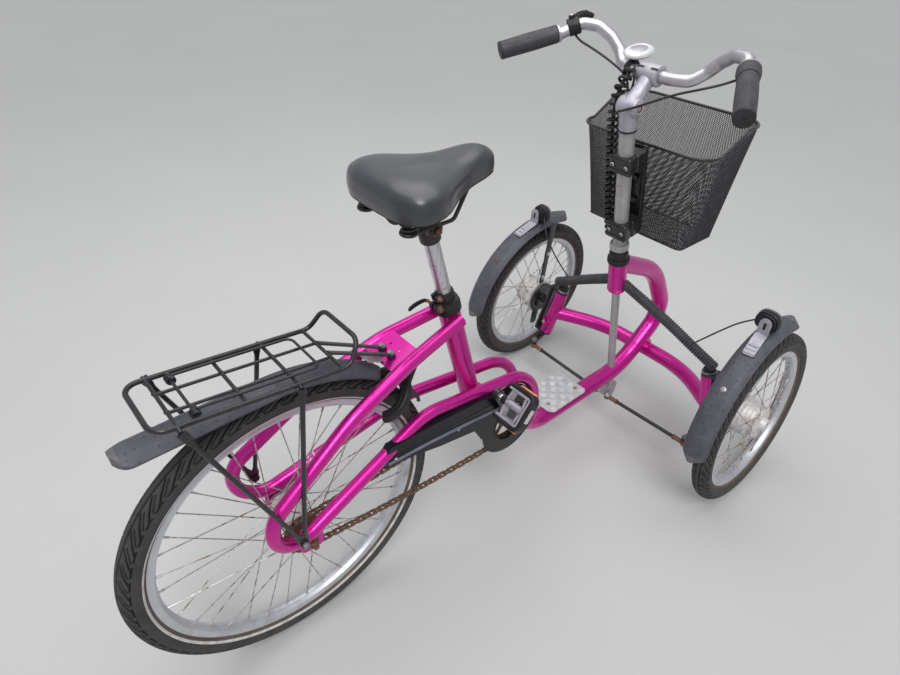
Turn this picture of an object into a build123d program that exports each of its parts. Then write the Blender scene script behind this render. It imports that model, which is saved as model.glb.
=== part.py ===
"""Upright tadpole tricycle: two steered front wheels, one driven rear wheel.

Millimetres. +X forward, +Y to the rider's left, +Z up, ground at zero. The origin is on the
ground, midway between the rearmost and the foremost tyre. Places at the rear are given from
the rear axle, places at the front from the point between the front hubs.
"""
import os
from math import cos, radians, sin

from build123d import *

os.makedirs("parts", exist_ok=True)

# Wheels and their places
rear_tyre_radius = 300.5
rear_rim_radius = 259.5
front_tyre_radius = 224.5
front_rim_radius = 183.5
tyre_width = 44.5
rim_width = 25
rim_depth = 18
wheelbase = 1021.5
front_track = 729
camber = 3.9
spoke_diameter = 2.2
rear_spokes = 36
front_spokes = 28

# Frame tubes
loop_tube = 25.4
main_tube_diameter = 45
cross_tube_diameter = 40
seat_tube_diameter = 42
head_tube_diameter = 44
kingpin_tube_diameter = 38

# Seat tube and post
seat_lean = 16.4
seat_foot_x = 421.9
seat_foot_z = 83.8
seat_tube_length = 248
seat_post_diameter = 27.2
seat_post_length = 296
seat_post_depth = 120
collar_height = 26

# Steering column
column_lean = 12.4
column_x = -61.3
column_z = -43.5
column_lower_diameter = 19.5
column_upper_diameter = 31.8
head_low = 232
head_high = 314
collar_top = 350
column_top = 636
column_foot = -114
shaft_clearance = 0.05
collar_diameter = 50

# Kingpins, steering arms and tie rods
kingpin_x = -11.5
kingpin_inset = 124
kingpin_z = 61
kingpin_lean = 13.5
kingpin_length = 158
kingpin_diameter = 16
fork_gap = 0.5
fork_thickness = 8
stub_reach = 82
pitman_radius = 34
pitman_spread = 20
tie_rod_diameter = 10
tie_rod_gap = 8.5
tie_rod_eye = 10
steering_arm_drop = 6
steering_arm_thickness = 7.5

# Drive
bracket_x = 500
bracket_z = -10.5
bracket_shaft = 17
crank_length = 150
crank_angle = 119
chain_line = 42.5
chainring_radius = 66.8
sprocket_radius = 38.6
chain_height = 9
chain_width = 8
case_gap = 11
case_wall = 2

# Places worked out from the sizes above
tyre_section = tyre_width / 2
rear_x = -(wheelbase + front_tyre_radius - rear_tyre_radius) / 2
rear_z = rear_tyre_radius
front_x = rear_x + wheelbase
front_z = (front_tyre_radius - tyre_section) * cos(radians(camber)) + tyre_section
kingpin_y = front_track / 2 - kingpin_inset
fork_middle = kingpin_length + fork_gap + fork_thickness / 2
steering_arm_level = kingpin_z - fork_middle * cos(radians(kingpin_lean)) - steering_arm_drop
steering_eye_y = kingpin_y + 23.5


def rear(x, y, z):
    """A place given from the rear axle."""
    return Vector(rear_x + x, y, rear_z + z)


def front(x, y, z):
    """A place given from the point between the front hubs."""
    return Vector(front_x + x, y, front_z + z)


def rod(start, end, diameter):
    """A round bar from one place to another."""
    run = end - start
    with BuildPart() as piece:
        with BuildSketch(Plane(origin=start, z_dir=run)):
            Circle(diameter / 2)
        extrude(amount=run.length)
    return piece.part


def bent_rod(points, radii, diameter, closed=False):
    """A round tube through corner points, each corner rounded by its radius."""
    with BuildPart() as piece:
        with BuildLine() as path:
            FilletPolyline(*points, radius=radii, close=closed)
        with BuildSketch(Plane(origin=path.line @ 0, z_dir=path.line % 0)):
            Circle(diameter / 2)
        sweep(path=path.line)
    return piece.part


def save(piece, name):
    """Label a finished piece and write its file."""
    piece.part.label = name
    export_step(piece.part, f"parts/{name}.step")


# Lines that several pieces share
seat_up = Vector(-sin(radians(seat_lean)), 0, cos(radians(seat_lean)))
seat_foot = rear(seat_foot_x, 0, seat_foot_z)
seat_top = seat_foot + seat_up * seat_tube_length
column_up = Vector(-sin(radians(column_lean)), 0, cos(radians(column_lean)))


def on_column(z):
    """The point of the steering axis at a height above the front hubs."""
    rise = (z - column_z) / cos(radians(column_lean))
    return front(column_x, 0, column_z) + column_up * rise


def on_kingpin(side, down):
    """The point of a kingpin's axis, a distance down from its top."""
    lean = radians(kingpin_lean)
    return front(kingpin_x, side * (kingpin_y + down * sin(lean)), kingpin_z - down * cos(lean))


def kingpin_up(side):
    """The direction of a kingpin, upwards."""
    return Vector(0, -side * sin(radians(kingpin_lean)), cos(radians(kingpin_lean)))


# Seat tube, bored for the post
with BuildPart() as seat_tube:
    with BuildSketch(Plane(origin=seat_foot - seat_up * 8, z_dir=seat_up)):
        Circle(seat_tube_diameter / 2)
    extrude(amount=seat_tube_length + 8)
    with BuildSketch(Plane(origin=seat_top, z_dir=-seat_up)):
        Circle(seat_post_diameter / 2)
    extrude(amount=seat_post_depth + 5, mode=Mode.SUBTRACT)
save(seat_tube, "seat_tube")

# Steering head tube, bored for the column
with BuildPart() as head_tube:
    with BuildSketch(Plane(origin=on_column(head_low), z_dir=column_up)):
        Circle(head_tube_diameter / 2)
        Circle(column_lower_diameter / 2 + shaft_clearance, mode=Mode.SUBTRACT)
    extrude(amount=(head_high - head_low) / cos(radians(column_lean)))
save(head_tube, "head_tube")

# Main tube: from the head forward, round and down, back under the step and up to the seat tube
main_points = [
    front(-137, 0, 309),
    front(36.5, 0, 231),
    front(111.5, 0, 111),
    front(111.5, 0, 51),
    front(-21.5, 0, -59),
    rear(650, 0, -148.5),
    rear(428, 0, 78),
]
with BuildPart() as main_tube:
    add(bent_rod(main_points, [200, 75, 75, 200, 100], main_tube_diameter))
    with BuildSketch(Plane(origin=on_column(-120), z_dir=column_up)):
        Circle(column_lower_diameter / 2 + shaft_clearance)
    extrude(amount=200, mode=Mode.SUBTRACT)
    with BuildSketch(Plane(origin=on_column(head_low - 60), z_dir=column_up)):
        Circle(head_tube_diameter / 2)
    extrude(amount=160, mode=Mode.SUBTRACT)
    with BuildSketch(Plane(origin=on_column(head_high), z_dir=column_up)):
        Circle(collar_diameter / 2)
    extrude(amount=60, mode=Mode.SUBTRACT)
    with BuildSketch(Plane(origin=seat_foot - seat_up * 8, z_dir=seat_up)):
        Circle(seat_tube_diameter / 2)
    extrude(amount=80, mode=Mode.SUBTRACT)
    bore = rear(bracket_x, 0, bracket_z)
    add(rod(bore - Vector(0, 40, 0), bore + Vector(0, 40, 0), bracket_shaft + 2 * shaft_clearance),
        mode=Mode.SUBTRACT)
save(main_tube, "main_tube")

# Bottom bracket shell, set into the main tube
bracket = rear(bracket_x, 0, bracket_z)
with BuildPart() as bottom_bracket:
    with BuildSketch(Plane(origin=bracket - Vector(0, 36, 0), z_dir=(0, 1, 0))):
        Circle(20)
        Circle(bracket_shaft / 2 + shaft_clearance, mode=Mode.SUBTRACT)
    extrude(amount=72)
    add(main_tube.part, mode=Mode.SUBTRACT)
save(bottom_bracket, "bottom_bracket")

# One bent tube each side: seat stay, hairpin, chain stay and arch; corner radius per bend
loop_corners = [
    # forward, out, up, radius; the first lies on the seat tube, just below its top
    (seat_top.X - rear_x + 10.12, 27, seat_top.Z - rear_z - 22.71, None),
    (235, 45, 274.5, 250),
    (100, 58, 223.5, 200),
    (-68, 75, 110, 55),
    (-68, 75, 2, 55),
    (275, 34, 120.5, 150),
    (599, 33, 78, 112),
    (599, 33, -70, None),
]
loop_radii = [corner[3] for corner in loop_corners[1:-1]]
for side, name in ((1, "loop_left"), (-1, "loop_right")):
    corners = [rear(x, side * y, z) for x, y, z, radius in loop_corners]
    dropout = rear(0, side * 66, 0)
    with BuildPart() as loop:
        add(bent_rod(corners, loop_radii, loop_tube))
        with BuildSketch(Plane(origin=dropout - Vector(0, 3, 0), x_dir=(1, 0, 0), z_dir=(0, 1, 0))):
            with Locations((0, -8)):
                RectangleRounded(44, 50, 10)
        extrude(amount=6)
        with BuildSketch(Plane(origin=dropout - Vector(0, 10, 0), z_dir=(0, 1, 0))):
            Circle(5)
        extrude(amount=20, mode=Mode.SUBTRACT)
        add(seat_tube.part, mode=Mode.SUBTRACT)
        add(main_tube.part, mode=Mode.SUBTRACT)
    save(loop, name)
    if side > 0:
        loop_left = loop
    else:
        loop_right = loop

# Plate between the seat stays, with two screw holes
with BuildPart() as bridge_plate:
    with BuildSketch(Plane(origin=rear(226, 0, 276), x_dir=(0.96, 0, 0.28), z_dir=(-0.28, 0, 0.96))):
        Rectangle(62, 80)
    extrude(amount=3)
    with BuildSketch(Plane(origin=rear(226, 0, 276), x_dir=(0.96, 0, 0.28), z_dir=(-0.28, 0, 0.96))):
        with Locations((8, 12.5), (8, -12.5)):
            Circle(2.6)
    extrude(amount=3, mode=Mode.SUBTRACT)
    add(loop_left.part, mode=Mode.SUBTRACT)
    add(loop_right.part, mode=Mode.SUBTRACT)
save(bridge_plate, "bridge_plate")

# Kingpin housings, bored through, with a short lug behind
kingpin_tubes = {}
for side, name in ((1, "kingpin_tube_left"), (-1, "kingpin_tube_right")):
    with BuildPart() as kingpin_tube:
        with BuildSketch(Plane(origin=on_kingpin(side, kingpin_length), z_dir=kingpin_up(side))):
            Circle(kingpin_tube_diameter / 2)
        extrude(amount=kingpin_length)
        lug = Plane(origin=on_kingpin(side, 106), x_dir=(0, side, 0), z_dir=(-1, 0, 0))
        with BuildSketch(lug):
            Circle(9)
        extrude(amount=kingpin_tube_diameter / 2 + 9)
        with BuildSketch(Plane(origin=on_kingpin(side, kingpin_length), z_dir=kingpin_up(side))):
            Circle(kingpin_diameter / 2 + shaft_clearance)
        extrude(amount=kingpin_length, mode=Mode.SUBTRACT)
    kingpin_tubes[name] = kingpin_tube.part
    save(kingpin_tube, name)

# Cross tube bowed forward under the main tube, with a gusset between the two
cross_points = [
    front(-13.5, -kingpin_y - 21.5, -19),
    front(83, -kingpin_y + 108.5, -37),
    front(83, kingpin_y - 108.5, -37),
    front(-13.5, kingpin_y + 21.5, -19),
]
with BuildPart() as cross_tube:
    add(bent_rod(cross_points, [230, 230], cross_tube_diameter))
    with BuildSketch(Plane(origin=front(68, 0, -8), x_dir=(0, 1, 0), z_dir=(0.637, 0, -0.77))):
        Rectangle(34, 30)
    extrude(amount=22, both=True)
    add(main_tube.part, mode=Mode.SUBTRACT)
    for side in (1, -1):
        with BuildSketch(Plane(origin=on_kingpin(side, kingpin_length), z_dir=kingpin_up(side))):
            Circle(kingpin_tube_diameter / 2)
        extrude(amount=kingpin_length, mode=Mode.SUBTRACT)
save(cross_tube, "cross_tube")

# Tread plate lying along the main tube, its corner cut off on the left behind
tread_slope = 0.0389
with BuildPart() as tread_plate:
    tread = Plane(origin=rear(760, 0, -120.9), x_dir=(1, 0, tread_slope), z_dir=(-tread_slope, 0, 1))
    with BuildSketch(tread):
        with BuildLine():
            Polyline((-70, -14), (-58, -26), (66, -26), (66, 76), (-22, 76), (-70, 28), close=True)
        make_face()
    extrude(amount=3)
    add(main_tube.part, mode=Mode.SUBTRACT)
save(tread_plate, "tread_plate")

# Seat post, its collar with a lever, and the saddle on two rails
with BuildPart() as seat_post:
    with BuildSketch(Plane(origin=seat_top - seat_up * seat_post_depth, z_dir=seat_up)):
        Circle(seat_post_diameter / 2)
    extrude(amount=seat_post_length)
save(seat_post, "seat_post")
post_top = seat_top + seat_up * (seat_post_length - seat_post_depth)

with BuildPart() as seat_collar:
    with BuildSketch(Plane(origin=seat_top - seat_up * 8, z_dir=seat_up)):
        Circle(25)
    extrude(amount=collar_height)
    with BuildSketch(Plane(origin=seat_top + seat_up * (collar_height - 8), z_dir=seat_up)):
        Circle(18)
    extrude(amount=20)
    with BuildSketch(Plane(origin=seat_top + seat_up * 4 + Vector(-20, -18, 0), z_dir=(0, 1, 0))):
        Circle(5)
    extrude(amount=48)
    with BuildSketch(Plane(origin=seat_top + seat_up * 4 + Vector(-20, 30, -5), z_dir=(0, 1, 0))):
        Rectangle(42, 9)
    extrude(amount=5)
    with BuildSketch(Plane(origin=seat_top - seat_up * 20, z_dir=seat_up)):
        Circle(seat_post_diameter / 2)
    extrude(amount=70, mode=Mode.SUBTRACT)
    add(seat_tube.part, mode=Mode.SUBTRACT)
    add(loop_left.part, mode=Mode.SUBTRACT)
    add(loop_right.part, mode=Mode.SUBTRACT)
save(seat_collar, "seat_collar")

saddle_outline = [
    (430, 0), (422, 20), (395, 33), (350, 46), (304, 70), (268, 93), (240, 100), (214, 92), (198, 64),
    (194, 30),
]
saddle_middle = 300
saddle_slope = 0.05
saddle_levels = [
    # height, length scale, width scale
    (561, 1, 1),
    (585, 1, 0.99),
    (598, 0.95, 0.86),
    (603, 0.86, 0.6),
]
with BuildPart() as saddle:
    for height, long, wide in saddle_levels:
        half = [((x - saddle_middle) * long, y * wide) for x, y in saddle_outline]
        other_half = [(x, -y) for x, y in reversed(half[1:])]
        level = Plane(origin=rear(saddle_middle, 0, height), x_dir=(1, 0, saddle_slope),
                      z_dir=(-saddle_slope, 0, 1))
        with BuildSketch(level):
            with BuildLine():
                Spline(*half, *other_half, periodic=True)
            make_face()
    loft()
save(saddle, "saddle")

clamp_at = post_top + seat_up * 6
with BuildPart() as saddle_springs:
    with BuildSketch(Plane(origin=post_top - seat_up * 24, z_dir=seat_up)):
        Circle(19)
    extrude(amount=34)
    for side in (1, -1):
        add(bent_rod(
            [rear(222, side * 55, 560), clamp_at + Vector(-50, side * 24, 6),
             clamp_at + Vector(40, side * 20, 6), rear(400, side * 8, 584)], [14, 14], 7))
        with BuildSketch(Plane(origin=rear(222, side * 55, 526))):
            Circle(13.5)
        extrude(amount=58)
    add(rod(clamp_at - Vector(0, 32, 0), clamp_at + Vector(0, 32, 0), 30))
    add(seat_post.part, mode=Mode.SUBTRACT)
    add(saddle.part, mode=Mode.SUBTRACT)
save(saddle_springs, "saddle_springs")

# Rear mudguard: an arched strip over the tyre with a straight tail
guard_radius = rear_tyre_radius + 22
guard_width = 58
guard_crown = 12
guard_wall = 2
guard_tail = 226
with BuildPart() as rear_fender:
    with BuildLine() as guard_path:
        over = CenterArc((0, 0), guard_radius, 52, 40)
        Line(over @ 1, over @ 1 + over % 1 * guard_tail)
    path = Plane(origin=rear(0, 0, 0), x_dir=(1, 0, 0), z_dir=(0, -1, 0)).location * guard_path.line
    with BuildSketch(Plane(origin=path @ 0, x_dir=(0, 1, 0), z_dir=path % 0)) as guard_section:
        with BuildLine():
            outer = ThreePointArc((-guard_width / 2, guard_crown), (0, 0), (guard_width / 2, guard_crown))
            inner = ThreePointArc(
                (guard_width / 2, guard_crown + guard_wall),
                (0, guard_wall),
                (-guard_width / 2, guard_crown + guard_wall))
            Line(outer @ 1, inner @ 0)
            Line(inner @ 1, outer @ 0)
        make_face()
    sweep(path=path)
    with BuildSketch(Plane(origin=rear(196, 0, 262), x_dir=(0, 1, 0), z_dir=(-0.28, 0, 0.96))):
        Rectangle(30, 34)
    extrude(amount=9)
    add(bridge_plate.part, mode=Mode.SUBTRACT)
save(rear_fender, "rear_fender")

# Rack of wire with its stays and the sprung clip
rack_slope = 0.095


def rack_z(x):
    """The height of the rack above the rear axle."""
    return 339.5 + (105 - x) * rack_slope


rail_diameter = 8
clip_x = -127
clip_rise = 5.8
clip_pin = 5
wire_diameter = 6
slat_diameter = 5
with BuildPart() as rack:
    add(bent_rod([
        rear(127, 51, 375), rear(104, 63, rack_z(104)), rear(-187.7, 60, rack_z(-187.7)),
        rear(-187.7, -60, rack_z(-187.7)), rear(104, -63, rack_z(104)), rear(127, -51, 375),
    ], [20, 20, 24, 24, 20, 20], rail_diameter, closed=True))
    for x in (-156, -62, 17, 92):
        add(rod(rear(x, -62, rack_z(x)), rear(x, 62, rack_z(x)), wire_diameter))
    for y in (-23, 23):
        add(rod(rear(-158, y, rack_z(-158) - 2), rear(94, y, rack_z(94) - 2), slat_diameter))
    add(rod(rear(clip_x, -61, rack_z(clip_x)), rear(clip_x, 61, rack_z(clip_x)), clip_pin))
save(rack, "rack")

with BuildPart() as rack_stays:
    for side in (1, -1):
        for x in (17, -156):
            add(rod(rear(-24, side * 91, 41.5), rear(x, side * 70, rack_z(x)), 8))
            add(rod(rear(x, side * 72, rack_z(x)), rear(x, side * 62, rack_z(x)), 7))
        add(rod(rear(-24, side * 87, 41.5), rear(-24, side * 95, 41.5), 14))
        add(rod(rear(214, side * 13, 278), rear(94, side * 16, rack_z(94)), 6))
    add(rack.part, mode=Mode.SUBTRACT)
    add(bridge_plate.part, mode=Mode.SUBTRACT)
    add(loop_left.part, mode=Mode.SUBTRACT)
    add(loop_right.part, mode=Mode.SUBTRACT)
save(rack_stays, "rack_stays")

with BuildPart() as rack_clip:
    add(bent_rod([
        rear(clip_x + 4, 44, rack_z(clip_x) + clip_rise), rear(62, 46, rack_z(62) + clip_rise),
        rear(62, -46, rack_z(62) + clip_rise), rear(clip_x + 4, -44, rack_z(clip_x) + clip_rise),
    ], [12, 12], 4.5))
    for side in (1, -1):
        add(rod(rear(clip_x, side * 37, rack_z(clip_x)), rear(clip_x, side * 52, rack_z(clip_x)), 15))
    add(rod(rear(clip_x, -60, rack_z(clip_x)), rear(clip_x, 60, rack_z(clip_x)),
            clip_pin + 2 * shaft_clearance), mode=Mode.SUBTRACT)
save(rack_clip, "rack_clip")

# Ring lock astride the rear tyre
lock_angle = 41
lock_radius = 54
lock_half = 9
lock_inner = 33
lock_centre = rear(
    (rear_tyre_radius - tyre_section) * cos(radians(lock_angle)), 0,
    (rear_tyre_radius - tyre_section) * sin(radians(lock_angle)))
lock_out = Vector(cos(radians(lock_angle)), 0, sin(radians(lock_angle)))
with BuildPart() as ring_lock:
    with BuildSketch(Plane(origin=lock_centre, x_dir=(0, 1, 0), z_dir=lock_out.cross(Vector(0, 1, 0)))):
        Circle(lock_radius)
        Circle(lock_inner, mode=Mode.SUBTRACT)
    extrude(amount=lock_half, both=True)
    with BuildSketch(Plane(origin=lock_centre - lock_out * 60, z_dir=lock_out)):
        Rectangle(2 * lock_inner, 2 * lock_inner)
    extrude(amount=60, mode=Mode.SUBTRACT)
    for side in (1, -1):
        add(rod(lock_centre + lock_out * 38 + Vector(0, side * 28, 0), rear(252, side * 42, 277), 10))
    add(loop_left.part, mode=Mode.SUBTRACT)
    add(loop_right.part, mode=Mode.SUBTRACT)
save(ring_lock, "ring_lock")

# Chain: a band round both sprockets, its lower run hanging
with BuildPart() as chain:
    with BuildSketch(Plane(origin=rear(0, -chain_line, 0), x_dir=(1, 0, 0), z_dir=(0, -1, 0))):
        with BuildLine():
            Polyline((0, 38.6), (bracket_x + 9, bracket_z + 66.2), close=False)
            ThreePointArc(
                (bracket_x + 9, bracket_z + 66.2), (bracket_x + 66.8, bracket_z),
                (bracket_x - 4, bracket_z - 66.7))
            ThreePointArc((bracket_x - 4, bracket_z - 66.7), (240, -66), (-2, -38.6))
            ThreePointArc((-2, -38.6), (-38.6, 0), (0, 38.6))
        make_face()
        offset(amount=chain_height / 2, mode=Mode.REPLACE)
        with BuildLine():
            Polyline((0, 38.6), (bracket_x + 9, bracket_z + 66.2), close=False)
            ThreePointArc(
                (bracket_x + 9, bracket_z + 66.2), (bracket_x + 66.8, bracket_z),
                (bracket_x - 4, bracket_z - 66.7))
            ThreePointArc((bracket_x - 4, bracket_z - 66.7), (240, -66), (-2, -38.6))
            ThreePointArc((-2, -38.6), (-38.6, 0), (0, 38.6))
        inner_face = make_face(mode=Mode.PRIVATE)
        offset(inner_face, amount=-chain_height / 2, mode=Mode.SUBTRACT)
    extrude(amount=chain_width / 2, both=True)
save(chain, "chain")

# Chain case: outer plate and rim, open underneath and towards the wheel
case_points = [(163, 64), (206, 62), (295, 40.5), (390, 24.5), (413, -13.5)]
case_radius = chainring_radius + chain_height / 2 + case_gap
with BuildPart() as chain_case:
    case_plane = Plane(origin=rear(0, -34, 0), x_dir=(1, 0, 0), z_dir=(0, -1, 0))
    with BuildSketch(case_plane):
        with BuildLine():
            Polyline((bracket_x, bracket_z + case_radius), (163, 84), *case_points,
                     (bracket_x, bracket_z - 40), close=True)
        make_face()
        with Locations((bracket_x, bracket_z)):
            Circle(case_radius)
    extrude(amount=24)
    with BuildSketch(case_plane):
        with BuildLine():
            Polyline((bracket_x, bracket_z + case_radius - case_wall), (163, 84 - case_wall), (140, 50),
                     (295, -20), (bracket_x - 40, bracket_z - 110), (bracket_x, bracket_z), close=True)
        make_face()
        with Locations((bracket_x, bracket_z)):
            Circle(case_radius - case_wall)
    extrude(amount=24 - case_wall, mode=Mode.SUBTRACT)
    with BuildSketch(case_plane):
        with Locations((bracket_x, bracket_z)):
            Circle(47)
    extrude(amount=24, mode=Mode.SUBTRACT)
    add(loop_right.part, mode=Mode.SUBTRACT)
save(chain_case, "chain_case")

# Headset cap round the column
with BuildPart() as head_collar:
    with BuildSketch(Plane(origin=on_column(head_high), z_dir=column_up)):
        Circle(collar_diameter / 2)
    extrude(amount=(collar_top - head_high) / cos(radians(column_lean)))
    with BuildSketch(Plane(origin=on_column(head_high), z_dir=column_up)):
        Circle(column_lower_diameter / 2 + shaft_clearance)
    extrude(amount=60, mode=Mode.SUBTRACT)
save(head_collar, "head_collar")

# Corrugated brake cable sleeves from the head tube to the kingpins
for side, name in ((1, "conduit_left"), (-1, "conduit_right")):
    with BuildPart() as conduit:
        add(bent_rod([
            front(-118, side * 14, 256), front(-60, side * (kingpin_y - 90.5), 165),
            front(-24, side * (kingpin_y + 11.5), 96),
        ], [60], 20))
        add(head_tube.part, mode=Mode.SUBTRACT)
        add(main_tube.part, mode=Mode.SUBTRACT)
    save(conduit, name)

# Rear axle with nuts outside the dropouts and cones inside
axle_diameter = 10
with BuildPart() as rear_axle:
    add(rod(rear(0, -84, 0), rear(0, 84, 0), axle_diameter))
    for side in (1, -1):
        add(rod(rear(0, side * 69, 0), rear(0, side * 77, 0), 20))
        add(rod(rear(0, side * 58.5, 0), rear(0, side * 63, 0), 18))
save(rear_axle, "rear_axle")


def tyre_of(radius, rim_radius):
    """A tyre about the Z axis, its bead inside the rim."""
    with BuildPart() as piece:
        with BuildSketch(Plane.XZ):
            with Locations((radius - tyre_section, 0)):
                Circle(tyre_section)
            with Locations((rim_radius - 20, 0)):
                Rectangle(40, 50, mode=Mode.SUBTRACT)
            with Locations((rim_radius, 0)):
                Rectangle(12, rim_width - 6)
        revolve(axis=Axis.Z)
    return piece.part


def rim_of(rim_radius):
    """A rim about the Z axis with a channel for the tyre."""
    with BuildPart() as piece:
        half = rim_width / 2
        floor = rim_radius - rim_depth
        with BuildSketch(Plane.XZ):
            with BuildLine():
                Polyline((floor, -5), (floor + 6, -half), (rim_radius, -half), (rim_radius, half),
                         (floor + 6, half), (floor, 5), close=True)
            make_face()
            with Locations((rim_radius, 0)):
                Rectangle(12, rim_width - 6, mode=Mode.SUBTRACT)
        revolve(axis=Axis.Z)
    return piece.part


def spokes_of(count, flange_radius, flange_half, rim_radius, crossing):
    """Crossed spokes about the Z axis from two flanges to the rim."""
    bars = []
    for i in range(count):
        side = 1 if i % 2 else -1
        lead = crossing if (i // 2) % 2 else -crossing
        outer = radians(360 * i / count)
        inner = outer + radians(lead)
        start = Vector(flange_radius * cos(inner), flange_radius * sin(inner), side * flange_half)
        reach = rim_radius - rim_depth - 0.25
        end = Vector(reach * cos(outer), reach * sin(outer), side * 2)
        bars.append(rod(start, end, spoke_diameter))
    return bars


# Rear wheel
rear_frame = Plane(origin=rear(0, 0, 0), x_dir=(1, 0, 0), z_dir=(0, -1, 0)).location
with BuildPart() as rear_tyre:
    add(tyre_of(rear_tyre_radius, rear_rim_radius).moved(rear_frame))
save(rear_tyre, "rear_tyre")
with BuildPart() as rear_rim:
    add(rim_of(rear_rim_radius).moved(rear_frame))
save(rear_rim, "rear_rim")

rear_hub_profile = [
    (0, -58), (12, -58), (12, -44), (20, -38), (35, -31), (35, -28), (25, -24), (25, 24), (35, 28),
    (35, 31), (20, 38), (15, 40), (15, 52), (0, 52),
]
with BuildPart() as hub_shape:
    with BuildSketch(Plane.XZ):
        with BuildLine():
            Polyline(*rear_hub_profile, close=True)
        make_face()
    revolve(axis=Axis.Z)
    with BuildSketch(Plane.XY.offset(chain_line)):
        Circle(sprocket_radius - chain_height / 2 - 0.4)
    extrude(amount=1.2, both=True)
    for bar in spokes_of(rear_spokes, 33, 29.5, rear_rim_radius, 50):
        add(bar)
    with BuildSketch(Plane.XY.offset(-60)):
        Circle(axle_diameter / 2 + shaft_clearance)
    extrude(amount=120, mode=Mode.SUBTRACT)
with BuildPart() as rear_hub:
    add(hub_shape.part.moved(rear_frame))
save(rear_hub, "rear_hub")

# Crank with chainring, and the two pedals
crank_run = Vector(cos(radians(crank_angle)), 0, sin(radians(crank_angle)))
arm_inner = 72
arm_outer = 86
pedal_inner = 96
pedal_outer = 164
with BuildPart() as crank_set:
    add(rod(bracket - Vector(0, arm_outer, 0), bracket + Vector(0, arm_outer, 0), bracket_shaft))
    for side in (1, -1):
        eye = bracket - crank_run * (crank_length * side)
        with BuildSketch(Plane(origin=bracket + Vector(0, side * arm_inner, 0), z_dir=(0, side, 0))):
            Circle(17)
        extrude(amount=arm_outer - arm_inner)
        with BuildSketch(Plane(origin=eye + Vector(0, side * arm_inner, 0), z_dir=(0, side, 0))):
            Circle(12)
        extrude(amount=arm_outer - arm_inner)
        middle = bracket - crank_run * (crank_length * side / 2) + Vector(0, side * arm_inner, 0)
        with BuildSketch(Plane(origin=middle, x_dir=crank_run, z_dir=(0, side, 0))):
            Rectangle(crank_length, 22)
        extrude(amount=arm_outer - arm_inner)
        add(rod(eye + Vector(0, side * arm_outer, 0), eye + Vector(0, side * (pedal_outer + 1), 0), 9))
    with BuildSketch(Plane(origin=bracket - Vector(0, chain_line - 1, 0), z_dir=(0, -1, 0))):
        Circle(chainring_radius - chain_height / 2 - 1)
    extrude(amount=2)
    add(rod(bracket - Vector(0, 41, 0), bracket - Vector(0, 72, 0), 40))
save(crank_set, "crank_set")

pedal_tilt = 53.6
pedal_along = Vector(cos(radians(pedal_tilt)), 0, sin(radians(pedal_tilt)))
for side, name in ((1, "pedal_left"), (-1, "pedal_right")):
    eye = bracket - crank_run * (crank_length * side)
    with BuildPart() as pedal:
        with BuildSketch(Plane(origin=eye + Vector(0, side * pedal_inner, 0), x_dir=pedal_along,
                               z_dir=(0, side, 0))):
            RectangleRounded(84, 28, 8)
        extrude(amount=pedal_outer - pedal_inner)
        with BuildSketch(Plane(origin=eye + Vector(0, side * 90, 0), z_dir=(0, side, 0))):
            Circle(4.5 + shaft_clearance)
        extrude(amount=80, mode=Mode.SUBTRACT)
    save(pedal, name)

# Steering column with the pitman arm at its foot
pitman = Plane(origin=on_column(column_foot), x_dir=(cos(radians(column_lean)), 0, sin(radians(column_lean))),
               z_dir=column_up)
with BuildPart() as column:
    with BuildSketch(pitman):
        Circle(column_lower_diameter / 2)
    extrude(amount=(collar_top + 2 - column_foot) / cos(radians(column_lean)))
    with BuildSketch(Plane(origin=on_column(collar_top + 1), z_dir=column_up)):
        Circle(22)
    extrude(amount=18)
    with BuildSketch(Plane(origin=on_column(collar_top + 10), z_dir=column_up)):
        Circle(column_upper_diameter / 2)
    extrude(amount=(column_top - collar_top - 10) / cos(radians(column_lean)))
    with BuildSketch(pitman):
        with BuildLine():
            Polyline((16, 12), (16, -12), (-26, -30), (-42, -30), (-42, 30), (-26, 30), close=True)
        make_face()
    extrude(amount=6)
    with BuildSketch(pitman):
        with Locations((-pitman_radius, pitman_spread), (-pitman_radius, -pitman_spread)):
            Circle(4)
    extrude(amount=-13)
save(column, "column")

# Stem: joint over the column, arm and clamp for the bar
stem_joint = on_column(column_top + 46)
bar_centre = front(-170.5, 0, 735)
with BuildPart() as stem:
    with BuildSketch(Plane(origin=on_column(column_top), z_dir=column_up)):
        Circle(18)
    extrude(amount=36)
    add(rod(stem_joint - Vector(0, 22, 0), stem_joint + Vector(0, 22, 0), 38))
    add(rod(stem_joint, bar_centre, 28))
    add(rod(bar_centre - Vector(0, 22, 0), bar_centre + Vector(0, 22, 0), 40))

# Handlebar, one half and its mirror image
bar_diameter = 24
grip_diameter = 36
bar_points = [
    (-170.5, 0, 735), (-168.7, 43, 734), (-155.6, 78, 736), (-140.6, 100, 755), (-143.4, 123, 777),
    (-154.8, 151, 795), (-171.4, 183, 797), (-204.6, 206, 777), (-309.5, 268, 745),
]
with BuildPart() as handlebar:
    for side in (1, -1):
        add(bent_rod([front(x, side * y, z) for x, y, z in bar_points], [30, 30, 25, 30, 30, 25, 30],
                     bar_diameter))
save(handlebar, "handlebar")
with BuildPart() as stem_bored:
    add(stem.part)
    add(handlebar.part, mode=Mode.SUBTRACT)
save(stem_bored, "stem")
grip_start = Vector(-213, 211.6, 775.6)
grip_end = Vector(-314, 270.6, 743.6)
for side, name in ((1, "grip_left"), (-1, "grip_right")):
    with BuildPart() as grip:
        add(rod(front(grip_start.X, side * grip_start.Y, grip_start.Z),
                front(grip_end.X, side * grip_end.Y, grip_end.Z), grip_diameter))
        add(handlebar.part, mode=Mode.SUBTRACT)
    save(grip, name)

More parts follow.
